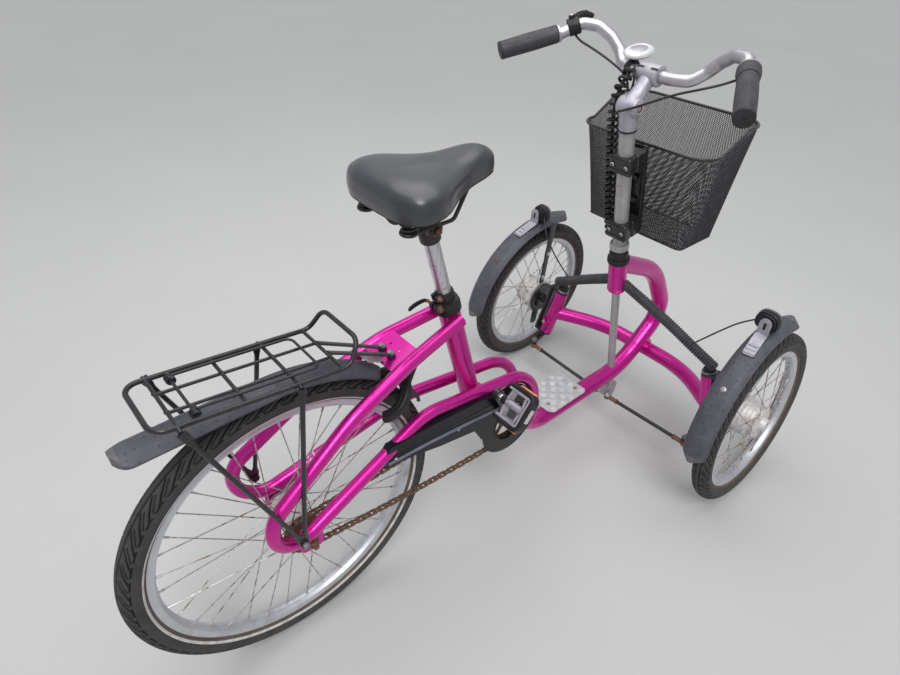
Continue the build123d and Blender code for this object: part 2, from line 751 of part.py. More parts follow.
with BuildPart() as bar_controls:
    add(rod(front(-183, -196, 791), front(-204, -207, 779.5), 40))
    add(rod(front(-176, 187, 794), front(-190, 200, 787), 34))
    add(handlebar.part, mode=Mode.SUBTRACT)
save(bar_controls, "bar_controls")

with BuildPart() as bell:
    add(rod(front(-163, 50, 735), front(-163, 50, 757), 16))
    with BuildSketch(Plane(origin=front(-163, 50, 757), z_dir=(0.25, -0.1, 1))):
        Circle(28)
    extrude(amount=14, taper=30)
    add(handlebar.part, mode=Mode.SUBTRACT)
save(bell, "bell")

# Basket with sloped walls, and the carrier that holds it to the column
basket_wall = 2
basket_y = 10
with BuildPart() as basket:
    with BuildSketch(Plane(origin=front(-30, basket_y, 376))):
        RectangleRounded(133, 258, 20)
    with BuildSketch(Plane(origin=front(-50.7, basket_y, 641))):
        RectangleRounded(222.5, 332, 38)
    loft()
    with BuildSketch(Plane(origin=front(-30, basket_y, 376 + basket_wall))):
        RectangleRounded(133 - 2 * basket_wall, 258 - 2 * basket_wall, 18)
    with BuildSketch(Plane(origin=front(-50.8, basket_y, 642))):
        RectangleRounded(223 - 2 * basket_wall, 332 - 2 * basket_wall, 36)
    loft(mode=Mode.SUBTRACT)
    with BuildSketch(Plane(origin=front(0, 0, 0), x_dir=(1, 0, 0), z_dir=(0, -1, 0))):
        with BuildLine():
            Polyline((-200, 600), (-118, 600), (-20, 640), (100, 640), (100, 700), (-200, 700), close=True)
        make_face()
    extrude(amount=200, both=True, mode=Mode.SUBTRACT)
save(basket, "basket")

rim_points = [(-150, 161, 598), (-118, 161, 598), (-20, 164, 640), (61, 164, 640)]
with BuildPart() as basket_carrier:
    for low, high in ((386, 426), (546, 583)):
        clamp = Plane(origin=on_column(low), x_dir=(cos(radians(column_lean)), 0, sin(radians(column_lean))),
                      z_dir=column_up)
        with BuildSketch(clamp):
            with Locations((8, 0)):
                RectangleRounded(56, 52, 6)
        extrude(amount=(high - low) / cos(radians(column_lean)))
    with BuildSketch(Plane(origin=on_column(386), x_dir=(cos(radians(column_lean)), 0,
                                                         sin(radians(column_lean))), z_dir=column_up)):
        with Locations((43, 0)):
            Rectangle(14, 44)
    extrude(amount=200)
    with BuildSketch(Plane(origin=on_column(360), z_dir=column_up)):
        Circle(column_upper_diameter / 2)
    extrude(amount=260, mode=Mode.SUBTRACT)
    add(bent_rod([
        *[front(x, basket_y + y, z) for x, y, z in rim_points],
        *[front(x, basket_y - y, z) for x, y, z in reversed(rim_points)],
    ], [28, 5, 30, 30, 30, 30, 5, 28], 6, closed=True))
    add(basket.part, mode=Mode.SUBTRACT)
save(basket_carrier, "basket_carrier")

with BuildPart() as cable_coil:
    add(bent_rod([
        front(-178, 33, 704), front(-212, 36, 664), front(-150, 35, 420), front(-136, 35, 372),
    ], [30, 60], 18))
    add(handlebar.part, mode=Mode.SUBTRACT)
    add(basket_carrier.part, mode=Mode.SUBTRACT)
save(cable_coil, "cable_coil")


def hub_frame(side):
    """A frame at a front hub: X forward, Y up the wheel, Z along the axle to the right."""
    lean = radians(camber)
    return Plane(origin=front(0, side * front_track / 2, 0), x_dir=(1, 0, 0),
                 z_dir=(0, -cos(lean), -side * sin(lean)))


# Front hub: brake drum inboard, flange outboard; the profile runs outboard
front_hub_profile = [
    (0, -36), (47, -36), (52, -34), (52, -31), (47, -29), (47, 4), (38, 10), (38, 21), (42, 22),
    (42, 25), (20, 27), (16, 40), (7, 40), (7, 30), (0, 30),
]
front_tyre_shape = tyre_of(front_tyre_radius, front_rim_radius)
front_rim_shape = rim_of(front_rim_radius)
stub_diameter = 12
guard_front_radius = front_tyre_radius + 39
for side, end in ((1, "left"), (-1, "right")):
    wheel = hub_frame(side)
    outward = -side
    with BuildPart() as tyre:
        add(front_tyre_shape.moved(wheel.location))
    save(tyre, f"tyre_{end}")
    with BuildPart() as rim:
        add(front_rim_shape.moved(wheel.location))
    save(rim, f"rim_{end}")
    with BuildPart() as hub_shape:
        with BuildSketch(Plane.XZ):
            with BuildLine():
                Polyline(*[(r, outward * t) for r, t in front_hub_profile], close=True)
            make_face()
        revolve(axis=Axis.Z)
        for bar in spokes_of(front_spokes, 41, 23.5, front_rim_radius, 34):
            add(bar)
        with BuildSketch(Plane.XY.offset(-60)):
            Circle(stub_diameter / 2 + shaft_clearance)
        extrude(amount=120, mode=Mode.SUBTRACT)
    with BuildPart() as hub:
        add(hub_shape.part.moved(wheel.location))
    save(hub, f"hub_{end}")

    # Knuckle: pin through the housing, fork round it, stub axle and steering arm
    up = kingpin_up(side)
    out = Vector(0, side * cos(radians(kingpin_lean)), sin(radians(kingpin_lean)))
    with BuildPart() as knuckle:
        add(rod(on_kingpin(side, kingpin_length + fork_thickness), on_kingpin(side, -fork_thickness),
                kingpin_diameter))
        for down in (-fork_gap, kingpin_length + fork_gap + fork_thickness):
            with BuildSketch(Plane(origin=on_kingpin(side, down), x_dir=out, z_dir=up)):
                Circle(18)
                with Locations((16, 0)):
                    Rectangle(32, 36)
            extrude(amount=fork_thickness)
        fork_foot = on_kingpin(side, kingpin_length + fork_gap + fork_thickness)
        with BuildSketch(Plane(origin=fork_foot, x_dir=out, z_dir=up)):
            with Locations((29, 0)):
                Rectangle(8, 40)
        extrude(amount=kingpin_length + 2 * (fork_gap + fork_thickness))
        with BuildSketch(Plane(origin=on_kingpin(side, -7.5), x_dir=out, z_dir=up)):
            Circle(16)
        extrude(amount=12, taper=25)
        hub_point = front(0, side * front_track / 2, 0)
        axle_out = Vector(0, side * cos(radians(camber)), sin(radians(camber)))
        add(rod(hub_point - axle_out * stub_reach, hub_point - axle_out * 44, 26))
        add(rod(hub_point - axle_out * 60, hub_point + axle_out * 29, stub_diameter))
        arm_start = on_kingpin(side, fork_middle)
        arm_end = front(-78.5, side * steering_eye_y, 0)
        reach = Vector(arm_end.X - arm_start.X, arm_end.Y - arm_start.Y, 0)
        arm_plane = Plane(origin=Vector(arm_start.X, arm_start.Y, front_z + steering_arm_level), x_dir=reach,
                          z_dir=(0, 0, 1))
        with BuildSketch(arm_plane):
            with Locations((reach.length / 2, 0)):
                Rectangle(reach.length, 18)
            with Locations((reach.length, 0)):
                Circle(10)
        extrude(amount=steering_arm_thickness)
        add(kingpin_tubes[f"kingpin_tube_{end}"], mode=Mode.SUBTRACT)
    save(knuckle, f"knuckle_{end}")

    with BuildPart() as brake_shape:
        with BuildSketch(Plane.XY.offset(outward * -37)):
            Circle(46)
        extrude(amount=outward * -7)
        with BuildSketch(Plane.XY.offset(outward * -38)):
            with Locations((-18, 60)):
                RectangleRounded(22, 60, 8)
        extrude(amount=outward * -4)
    # Mudguard with its stay, lamp bracket and lamp
    guard_offset = outward * -6
    with BuildPart() as guard_shape:
        with BuildSketch(Plane(origin=(0, 0, 0), x_dir=(cos(radians(72)), sin(radians(72)), 0),
                               z_dir=(sin(radians(72)), -cos(radians(72)), 0))):
            with BuildLine():
                r = guard_front_radius
                w = guard_width / 2
                a = ThreePointArc((r - 10, guard_offset - w), (r, guard_offset), (r - 10, guard_offset + w))
                b = ThreePointArc((r - 13, guard_offset + w - 1), (r - 2.5, guard_offset),
                                  (r - 13, guard_offset - w + 1))
                Line(a @ 1, b @ 0)
                Line(b @ 1, a @ 0)
            make_face()
        revolve(axis=Axis.Z, revolution_arc=104)
    with BuildPart() as fender:
        add(guard_shape.part.moved(wheel.location))
    save(fender, f"fender_{end}")

    # The lamp stands on the mudguard's top, on a bent strip; a flat stay runs down inside
    lamp_at = front(-46, side * (front_track / 2 - 33.5), 292)
    foot = front(-122, side * (front_track / 2 - 22), 235)
    heel = front(-66, side * (front_track / 2 - 28.5), 260)
    with BuildPart() as lamp_bracket:
        strip = heel - foot
        with BuildSketch(Plane(origin=foot, x_dir=strip, z_dir=strip.cross(Vector(0, side, 0)) * -side)):
            with Locations((strip.length / 2, 0)):
                Rectangle(strip.length + 2, 26)
        extrude(amount=3)
        with BuildSketch(Plane(origin=heel, x_dir=(0, 1, 0), z_dir=(1, 0, 0))):
            with Locations((0, 22)):
                Rectangle(26, 46)
            with Locations((0, 26)):
                Rectangle(7, 22, mode=Mode.SUBTRACT)
        extrude(amount=3)
        add(fender.part, mode=Mode.SUBTRACT)
    save(lamp_bracket, f"lamp_bracket_{end}")
    with BuildPart() as lamp:
        with BuildSketch(Plane(origin=lamp_at - Vector(17, 0, 0), z_dir=(1, 0, 0))):
            Circle(22)
        with BuildSketch(Plane(origin=lamp_at + Vector(10, 0, 0), z_dir=(1, 0, 0))):
            Circle(30)
        loft()
        with BuildSketch(Plane(origin=lamp_at + Vector(10, 0, 0), z_dir=(1, 0, 0))):
            Circle(30)
        extrude(amount=8)
    save(lamp, f"lamp_{end}")
    with BuildPart() as stay_shape:
        add(brake_shape.part)
        add(rod(Vector(-14, 60, outward * -40), Vector(-4, guard_front_radius - 8, outward * -34), 8))
    with BuildPart() as brake_plate:
        add(stay_shape.part.moved(wheel.location))
        add(fender.part, mode=Mode.SUBTRACT)
        add(knuckle.part, mode=Mode.SUBTRACT)
    save(brake_plate, f"brake_plate_{end}")

    # Tie rod hung on the pitman arm, its outer eye under the steering arm
    inner_pin = pitman.origin - pitman.x_dir * pitman_radius + Vector(0, side * pitman_spread, 0)
    inner_eye = inner_pin - column_up * 6
    outer_eye = front(-78.5, side * steering_eye_y, steering_arm_level - tie_rod_gap - tie_rod_eye / 2)
    with BuildPart() as tie_rod:
        add(rod(inner_eye, outer_eye, tie_rod_diameter))
        add(rod(inner_eye - column_up * 5.5, inner_eye + column_up * 5.5, 18))
        add(rod(outer_eye - Vector(0, 0, tie_rod_eye / 2), outer_eye + Vector(0, 0, tie_rod_eye / 2), 18))
        add(rod(inner_eye - column_up * 12, inner_eye + column_up * 12, 8 + 2 * shaft_clearance),
            mode=Mode.SUBTRACT)
    save(tie_rod, f"tie_rod_{end}")
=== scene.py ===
import math

import bmesh
import bpy
import numpy as np
from mathutils import Matrix, Vector


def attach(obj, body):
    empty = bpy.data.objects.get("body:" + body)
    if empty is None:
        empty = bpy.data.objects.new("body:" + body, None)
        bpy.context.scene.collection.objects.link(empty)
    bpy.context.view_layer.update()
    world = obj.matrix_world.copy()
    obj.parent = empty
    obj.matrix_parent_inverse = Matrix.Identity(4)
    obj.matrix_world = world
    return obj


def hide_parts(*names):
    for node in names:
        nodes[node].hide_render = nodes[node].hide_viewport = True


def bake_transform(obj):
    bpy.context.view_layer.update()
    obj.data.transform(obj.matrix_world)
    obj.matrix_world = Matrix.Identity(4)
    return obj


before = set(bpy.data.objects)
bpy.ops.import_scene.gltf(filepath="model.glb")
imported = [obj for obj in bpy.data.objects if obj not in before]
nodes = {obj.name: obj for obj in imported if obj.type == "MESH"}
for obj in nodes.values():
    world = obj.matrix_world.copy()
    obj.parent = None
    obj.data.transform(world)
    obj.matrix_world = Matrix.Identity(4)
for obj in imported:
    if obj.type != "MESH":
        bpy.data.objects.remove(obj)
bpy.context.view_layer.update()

print("frame loaded:", len(nodes), "nodes")

# Sizes are in millimetres and angles in degrees, in the frame's own axes: X forward, Y left, Z up
tricycle = {
    "wheelbase": 1021.5,
    "rearTyreRadius": 300.5,
    "frontTyreRadius": 224.5,
    "tyreWidth": 44.5,
    "frontTrack": 729,
    "camber": 3.9,
    "seatLean": 16.4,
    "columnLean": 12.4,
    "kingpinLean": 13.5,
    "leverFoot": -114,
    "leverReach": 34,
    "leverSpread": 20,
    "armEye": (-78.5, 264),
}
tyreSection = tricycle["tyreWidth"] / 2
camberAngle = math.radians(tricycle["camber"])
rearX = -(tricycle["wheelbase"] + tricycle["frontTyreRadius"] - tricycle["rearTyreRadius"]) / 2
rearZ = tricycle["rearTyreRadius"]
frontX = rearX + tricycle["wheelbase"]
sideOf = {"left": 1, "right": -1}
frontZ = (tricycle["frontTyreRadius"] - tyreSection) * math.cos(camberAngle) + tyreSection


def rear(x, y, z):  # a place given from the rear axle
    return np.array([rearX + x, y, rearZ + z], float)


def front(x, y, z):  # a place given from the point between the front hubs
    return np.array([frontX + x, y, frontZ + z], float)


def unit(v):
    v = np.asarray(v, float)
    return v / np.linalg.norm(v, axis=-1, keepdims=True)


def wholeTurn(count):  # angles once round, in even steps
    return np.linspace(0, 2 * np.pi, count, endpoint=False)


def distances(path):  # how far along a path each of its points lies
    return np.concatenate([[0], np.cumsum(np.linalg.norm(np.diff(path, axis=0), axis=1))])


def leaning(angle):  # upwards and backwards by an angle
    return np.array([-math.sin(math.radians(angle)), 0, math.cos(math.radians(angle))])


def raised(angle):  # forwards, turned up by an angle in radians
    return np.array([math.cos(angle), 0, math.sin(angle)])


seatUp = leaning(tricycle["seatLean"])
columnUp = leaning(tricycle["columnLean"])
columnAhead = np.array([columnUp[2], 0, -columnUp[0]])


def onColumn(z):  # the steering axis at a height above the front hubs
    return front(-61.3, 0, -43.5) + columnUp * (z + 43.5) / columnUp[2]


def onKingpin(side, down):  # a kingpin's axis, a distance below its top
    lean = math.radians(tricycle["kingpinLean"])
    return front(-11.5, side * (240.5 + down * math.sin(lean)), 61 - down * math.cos(lean))


def leverEye(side):  # behind the steering axis, on the lever at the column's foot
    back = columnAhead * tricycle["leverReach"]
    return onColumn(tricycle["leverFoot"]) - back + (0, side * tricycle["leverSpread"], 0)


def armEye(side, z):  # the eye of a knuckle's arm
    x, y = tricycle["armEye"]
    return front(x, side * y, z)


def kingpinUp(side):
    lean = math.radians(tricycle["kingpinLean"])
    return np.array([0, -side * math.sin(lean), math.cos(lean)])


# Camera at the photograph's angle
cameraSettings = {
    "place": (-758.03, -722.9, 1248.5),
    "yaw": 48.17,
    "pitch": -35.954,
    "roll": 2.63,
    "lens": 25.214,
    "sensor": 36,
}


def makeCamera(s):
    yaw, pitch, roll = (math.radians(s[k]) for k in ("yaw", "pitch", "roll"))
    ahead = np.array([math.cos(pitch) * math.cos(yaw), math.cos(pitch) * math.sin(yaw), math.sin(pitch)])
    level = np.array([math.sin(yaw), -math.cos(yaw), 0])
    rise = np.cross(level, ahead)
    right = math.cos(roll) * level + math.sin(roll) * rise
    up = math.cos(roll) * rise - math.sin(roll) * level
    data = bpy.data.cameras.new("viewCamera")
    data.lens = s["lens"]
    data.sensor_width = s["sensor"]
    data.clip_start = 0.05
    camera = bpy.data.objects.new("viewCamera", data)
    bpy.context.scene.collection.objects.link(camera)
    turn = Matrix([[right[i], up[i], -ahead[i]] for i in range(3)]).to_4x4()
    camera.matrix_world = Matrix.Translation(Vector(s["place"]) / 1000) @ turn
    bpy.context.scene.camera = camera


makeCamera(cameraSettings)
print("camera placed")


# Surfaces: each is (points, faces), with the points in millimetres


def grid(points, wrapRows=False, wrapColumns=False, caps=False):
    # points[i, j] is the surface at row i and column j; neighbouring points join into quads
    rows, columns = points.shape[:2]
    i = np.arange(rows if wrapRows else rows - 1)[:, None]
    j = np.arange(columns if wrapColumns else columns - 1)[None, :]
    nextI, nextJ = (i + 1) % rows, (j + 1) % columns
    corners = [i * columns + j, nextI * columns + j, nextI * columns + nextJ, i * columns + nextJ]
    quads = np.stack(np.broadcast_arrays(*corners), -1).reshape(-1, 4)
    faces = quads.tolist()
    if caps:
        faces.append(list(range(columns)))
        faces.append(list(range((rows - 1) * columns, rows * columns)))
    return points.reshape(-1, 3), faces


def circle(radius, count):
    turn = wholeTurn(count)
    return np.stack([np.cos(turn), np.sin(turn)], -1) * radius


def rectangle(width, height, corner=0.0, count=5):
    # a rectangle's outline, each corner rounded by a quarter turn
    if corner <= 0:
        return np.array([(1, -1), (1, 1), (-1, 1), (-1, -1)]) * (width / 2, height / 2)
    quarter = np.linspace(0, np.pi / 2, count)
    places = [(1, -1, -90), (1, 1, 0), (-1, 1, 90), (-1, -1, 180)]
    runs = []
    for x, y, start in places:
        centre = (x * (width / 2 - corner), y * (height / 2 - corner))
        turn = quarter + math.radians(start)
        runs.append(np.stack([np.cos(turn), np.sin(turn)], -1) * corner + centre)
    return np.concatenate(runs)


def sweep(path, profile, up=None, closed=False, scale=None):
    # a flat profile carried along a path; up gives the profile's second direction
    path = np.asarray(path, float)
    ahead = np.roll(path, -1, 0) - np.roll(path, 1, 0) if closed else np.gradient(path, axis=0)
    ahead = unit(ahead)
    if up is None:
        up = np.linalg.svd(ahead)[2][-1]
    sideways = unit(np.cross(ahead, up))
    upwards = np.cross(sideways, ahead)
    shape = np.broadcast_to(profile, (len(path),) + np.shape(profile)[-2:])
    if scale is not None:
        scale = np.asarray(scale, float)
        shape = shape * (scale[:, None, None] if scale.ndim == 1 else scale[:, None, :])
    points = path[:, None] + shape[..., :1] * sideways[:, None] + shape[..., 1:] * upwards[:, None]
    return grid(points, wrapRows=closed, wrapColumns=True, caps=not closed)


def turned(profile, count, origin=(0, 0, 0), axis=(0, 0, 1), ahead=None, closed=False):
    # a profile of (radius, distance along the axis) turned about the axis
    axis = unit(axis)
    if ahead is None:
        ahead = np.cross(axis, (0, 1, 0)) if abs(axis[1]) < 0.9 else np.cross(axis, (1, 0, 0))
    ahead = unit(ahead)
    across = np.cross(axis, ahead)
    angle = wholeTurn(count)[:, None, None]
    profile = np.asarray(profile, float)
    spoke = np.cos(angle) * ahead + np.sin(angle) * across
    points = np.asarray(origin) + profile[None, :, :1] * spoke + profile[None, :, 1:] * axis
    return grid(points, wrapRows=True, wrapColumns=closed)


def bars(starts, ends, radius, sides=6):
    # many straight bars at once: a ring of points at each end of every bar
    starts, ends = np.asarray(starts, float), np.asarray(ends, float)
    ahead = unit(ends - starts)
    guide = np.where(np.abs(ahead[:, 2:]) < 0.9, [[0.0, 0.0, 1.0]], [[1.0, 0.0, 0.0]])
    a = unit(np.cross(ahead, guide))
    b = np.cross(ahead, a)
    angle = wholeTurn(sides)
    ring = (np.cos(angle)[:, None] * a[:, None] + np.sin(angle)[:, None] * b[:, None]) * radius
    points = np.stack([starts[:, None] + ring, ends[:, None] + ring], 1)
    start = np.arange(len(starts))[:, None] * 2 * sides
    j = np.arange(sides)[None]
    after = (j + 1) % sides
    quads = np.stack([start + j, start + after, start + sides + after, start + sides + j], -1)
    faces = quads.reshape(-1, 4).tolist()
    faces += (start + j).tolist() + (start + sides + j).tolist()
    return points.reshape(-1, 3), faces


def rod(start, end, radius, sides=16):
    return bars([start], [end], radius, sides)


def plate(outline, thickness, origin, xAxis, normal):
    # a flat outline given a thickness along its normal
    xAxis, normal = unit(xAxis), unit(normal)
    yAxis = np.cross(normal, xAxis)
    outline = np.asarray(outline, float)
    flat = np.asarray(origin) + outline[:, :1] * xAxis + outline[:, 1:] * yAxis
    return grid(np.stack([flat, flat + normal * thickness]), wrapColumns=True, caps=True)


def block(size, centre, xAxis, normal, corner=2.0):
    # a rounded rectangle extruded, with its own long edges eased
    xAxis, normal = unit(xAxis), unit(normal)
    yAxis = np.cross(normal, xAxis)
    ease = min(corner * 0.4, size[2] / 4)
    heights = np.array([0, ease, size[2] - ease, size[2]]) - size[2] / 2
    shrink = np.array([ease, 0, 0, ease])
    shape = np.stack([rectangle(size[0] - 2 * s, size[1] - 2 * s, max(corner - s, 0.3)) for s in shrink])
    points = np.asarray(centre) + shape[..., :1] * xAxis + shape[..., 1:] * yAxis
    return grid(points + heights[:, None, None] * normal, wrapColumns=True, caps=True)


def bolt(place, axis, across=10, height=4, washer=0.0):
    # a six-sided head with eased corners, on a washer when one is given
    head = [(0, 0), (across / 2, 0), (across / 2, height * 0.75), (across / 2 * 0.86, height), (0, height)]
    made = [turned(head, 6, np.asarray(place) + unit(axis) * (1.2 if washer else 0), axis)]
    if washer:
        ring = [(0, 0), (washer / 2, 0), (washer / 2, 1.2), (0, 1.2)]
        made.append(turned(ring, 20, place, axis))
    return made


def domed(place, axis, radius=5, height=3, socket=0.0):
    # a round head, its top a part of an ellipse, hollowed in the middle for a socket
    t = np.linspace(0, np.pi / 2, 7)
    head = [(0, 0)] + [(radius * math.cos(a), height * math.sin(a)) for a in t[:-1]]
    if socket:
        head = head[:-1] + [(socket, height * 0.97), (socket, height * 0.3), (0, height * 0.3)]
    else:
        head.append((0, height))
    return [turned(head, 18, place, axis)]


def roundPath(corners, radii, step=5.0):
    # straight runs joined by arcs, then even steps along the whole
    corners = np.asarray(corners, float)
    runs = [corners[:1]]
    for before, here, after, radius in zip(corners[:-2], corners[1:-1], corners[2:], radii):
        a, b = unit(before - here), unit(after - here)
        half = math.acos(float(np.clip(a @ b, -1, 1))) / 2
        centre = here + unit(a + b) * radius / math.sin(half)
        first = here + a * radius / math.tan(half) - centre
        last = here + b * radius / math.tan(half) - centre
        u = unit(first)
        v = unit(last - (last @ u) * u)
        t = np.linspace(0, math.pi - 2 * half, 16)[:, None]
        runs.append(centre + radius * (u * np.cos(t) + v * np.sin(t)))
    runs.append(corners[-1:])
    return evenly(np.concatenate(runs), step)


def closedPath(corners, radii, step):  # starts and ends halfway along its last side, without the doubled end
    start = (corners[0] + corners[-1]) / 2
    return roundPath([start] + corners + [start], radii, step)[:-1]


def evenly(path, step):
    along = distances(path)
    wanted = np.linspace(0, along[-1], max(int(along[-1] / step), 2) + 1)
    return np.stack([np.interp(wanted, along, path[:, k]) for k in range(3)], -1)


def cubic(a, b, c, d, t):  # from b to c, leaving and arriving along the lines between the neighbours
    return 0.5 * (2 * b + (c - a) * t + (2 * a - 5 * b + 4 * c - d) * t**2 + (3 * b - 3 * c + d - a) * t**3)


def smoothPath(points, count):  # a curve through the points
    p = np.asarray(points, float)
    p = np.concatenate([2 * p[:1] - p[1:2], p, 2 * p[-1:] - p[-2:-1]])
    place = np.linspace(0, len(p) - 3, count)
    i = np.minimum(place.astype(int), len(p) - 4)
    return cubic(*(p[i + k] for k in range(4)), (place - i)[:, None])


def cordSpline(name, points):
    # an open smooth line whose control points are given in millimetres
    data = bpy.data.curves.new(name, "CURVE")
    data.dimensions = "3D"
    spline = data.splines.new("NURBS")
    spline.points.add(len(points) - 1)
    for place, point in zip(spline.points, points):
        place.co = (*(np.asarray(point) / 1000), 1)
    spline.order_u = 3
    spline.use_endpoint_u = True
    return data


def cordLine(points, count):
    # the line's own points, read back from the spline
    data = cordSpline("route", points)
    data.splines[0].resolution_u = count // max(len(points) - 2, 1)
    holder = bpy.data.objects.new("route", data)
    bpy.context.scene.collection.objects.link(holder)
    mesh = bpy.data.meshes.new_from_object(holder)
    line = np.array([v.co[:] for v in mesh.vertices], float) * 1000
    bpy.data.objects.remove(holder)
    return line


def makePiece(name, surfaces, finish, body, replaces=(), smooth=35, paintedShadeWeights=None):
    # gathers surfaces into one mesh, closes its seams and turns its faces outwards
    flat = []
    for s in surfaces:
        flat += s if isinstance(s, list) else [s]
    points, faces, start = [], [], 0
    for surfacePoints, surfaceFaces in flat:
        points.append(surfacePoints)
        faces += [[k + start for k in face] for face in surfaceFaces]
        start += len(surfacePoints)
    mesh = bpy.data.meshes.new(name)
    mesh.from_pydata((np.concatenate(points) / 1000).tolist(), [], faces)
    mesh.validate()
    # weights for painted shade, which the finish turns into a darker colour
    if paintedShadeWeights is not None:
        mesh.attributes.new("paintedShade", "FLOAT", "POINT").data.foreach_set("value", np.asarray(paintedShadeWeights, "f"))
    work = bmesh.new()
    work.from_mesh(mesh)
    bmesh.ops.remove_doubles(work, verts=work.verts, dist=1e-6)
    bmesh.ops.recalc_face_normals(work, faces=work.faces)
    work.to_mesh(mesh)
    work.free()
    mesh.shade_smooth()
    mesh.set_sharp_from_angle(angle=math.radians(smooth))
    mesh.materials.append(finishes[finish])
    piece = bpy.data.objects.new(name, mesh)
    bpy.context.scene.collection.objects.link(piece)
    if body:
        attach(piece, body)
    if replaces:
        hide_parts(*replaces)
    return piece


# Finishes: procedural, on Object coordinates in metres


plainSockets = {"coat": "Coat Weight", "coatRoughness": "Coat Roughness", "specular": "Specular IOR Level"}


def makeFinish(name, first, second, roughness, s):
    # two shades mixed by noise, rust or dust laid over by a second noise, and fine relief from a third
    material = bpy.data.materials.new(name)
    material.use_nodes = True
    tree = material.node_tree
    shader = tree.nodes["Principled BSDF"]
    shader.inputs["Metallic"].default_value = s.get("metallic", 0.0)
    for key, socket in plainSockets.items():
        if key in s:
            shader.inputs[socket].default_value = s[key]
    place = tree.nodes.new("ShaderNodeTexCoord").outputs["Object"]

    def noise(scale, detail=4.0, rough=0.55, stretch=None, kind="ShaderNodeTexNoise"):
        source = place
        if stretch:
            mapping = tree.nodes.new("ShaderNodeMapping")
            mapping.inputs["Scale"].default_value = stretch
            tree.links.new(place, mapping.inputs["Vector"])
            source = mapping.outputs["Vector"]
        made = tree.nodes.new(kind)
        made.inputs["Scale"].default_value = scale
        if kind == "ShaderNodeTexNoise":
            made.inputs["Detail"].default_value = detail
            made.inputs["Roughness"].default_value = rough
        tree.links.new(source, made.inputs["Vector"])
        return made.outputs["Fac" if kind == "ShaderNodeTexNoise" else "Distance"]

    def ranged(value, low, high, outLow=0.0, outHigh=1.0):
        made = tree.nodes.new("ShaderNodeMapRange")
        for socket, number in zip(("From Min", "From Max", "To Min", "To Max"),
                (low, high, outLow, outHigh)):
            made.inputs[socket].default_value = number
        tree.links.new(value, made.inputs["Value"])
        return made.outputs["Result"]

    def mixed(factor, first, second):
        made = tree.nodes.new("ShaderNodeMix")
        made.data_type = "RGBA"
        for socket, value in (("Factor", factor), ("A", first), ("B", second)):
            target = [i for i in made.inputs if i.name == socket and i.enabled][0]
            if isinstance(value, tuple):
                target.default_value = (*value, 1.0)
            else:
                tree.links.new(value, target)
        return [o for o in made.outputs if o.enabled][0]

    tone = noise(s.get("toneScale", 30), 5.0, 0.6, s.get("toneStretch"))
    colour = mixed(ranged(tone, 0.35, 0.68), first, second)
    rough = ranged(noise(s.get("roughScale", 60), 6.0, 0.65, s.get("toneStretch")), 0.3, 0.7, *roughness)
    if "fleck" in s:  # a scatter of small pale or dark specks
        amount, fleckColour, fleckScale = s["fleck"]
        spots = ranged(noise(fleckScale, kind="ShaderNodeTexVoronoi"), amount, amount * 0.5)
        colour = mixed(spots, colour, fleckColour)
    if "rust" in s:  # brown patches, rougher than the metal round them
        amount, rustScale, rustColour = s["rust"]
        patches = ranged(noise(rustScale, 8.0, 0.7), 1 - amount, 1 - amount * 0.82)
        deep = mixed(noise(rustScale * 6), rustColour, tuple(c * 0.45 for c in rustColour))
        colour = mixed(patches, colour, deep)
        wide = tree.nodes.new("ShaderNodeMath")
        wide.operation = "MAXIMUM"
        tree.links.new(rough, wide.inputs[0])
        tree.links.new(ranged(patches, 0, 1, 0, 0.85), wide.inputs[1])
        rough = wide.outputs[0]
        if s.get("metallic", 0) > 0:
            tree.links.new(ranged(patches, 0, 1, s["metallic"], 0.1), shader.inputs["Metallic"])
    if "dust" in s:  # dried dirt, thickest below a height
        amount, dustColour, height = s["dust"]
        split = tree.nodes.new("ShaderNodeSeparateXYZ")
        tree.links.new(place, split.inputs["Vector"])
        low = ranged(split.outputs["Z"], height, 0.0, 0.25, 1.0)
        spread = ranged(noise(55, 7.0, 0.7), 0.42, 0.75, 0, amount)
        laid = tree.nodes.new("ShaderNodeMath")
        laid.operation = "MULTIPLY"
        tree.links.new(low, laid.inputs[0])
        tree.links.new(spread, laid.inputs[1])
        colour = mixed(laid.outputs[0], colour, dustColour)
    if "paintedShadeColour" in s:  # a darker colour where the mesh's weights say so: painted shade in the tyre's grooves
        paintedShade = tree.nodes.new("ShaderNodeAttribute")
        paintedShade.attribute_name = "paintedShade"
        colour = mixed(paintedShade.outputs["Fac"], colour, s["paintedShadeColour"])
    tree.links.new(colour, shader.inputs["Base Color"])
    tree.links.new(rough, shader.inputs["Roughness"])
    if "relief" in s:  # each (scale, strength) adds noise, or the kind named, to one bump chain
        normal = None
        for scale, strength, *kind in s["relief"]:
            bump = tree.nodes.new("ShaderNodeBump")
            bump.inputs["Strength"].default_value = strength
            bump.inputs["Distance"].default_value = 0.0005
            node = "ShaderNodeTexVoronoi" if "cells" in kind else "ShaderNodeTexNoise"
            stretch = s.get("toneStretch") if "brushed" in kind else None
            tree.links.new(noise(scale, 5.0, 0.6, stretch, node), bump.inputs["Height"])
            if normal is not None:
                tree.links.new(normal, bump.inputs["Normal"])
            normal = bump.outputs["Normal"]
        tree.links.new(normal, shader.inputs["Normal"])
    return material


dirt = (0.16, 0.12, 0.085)
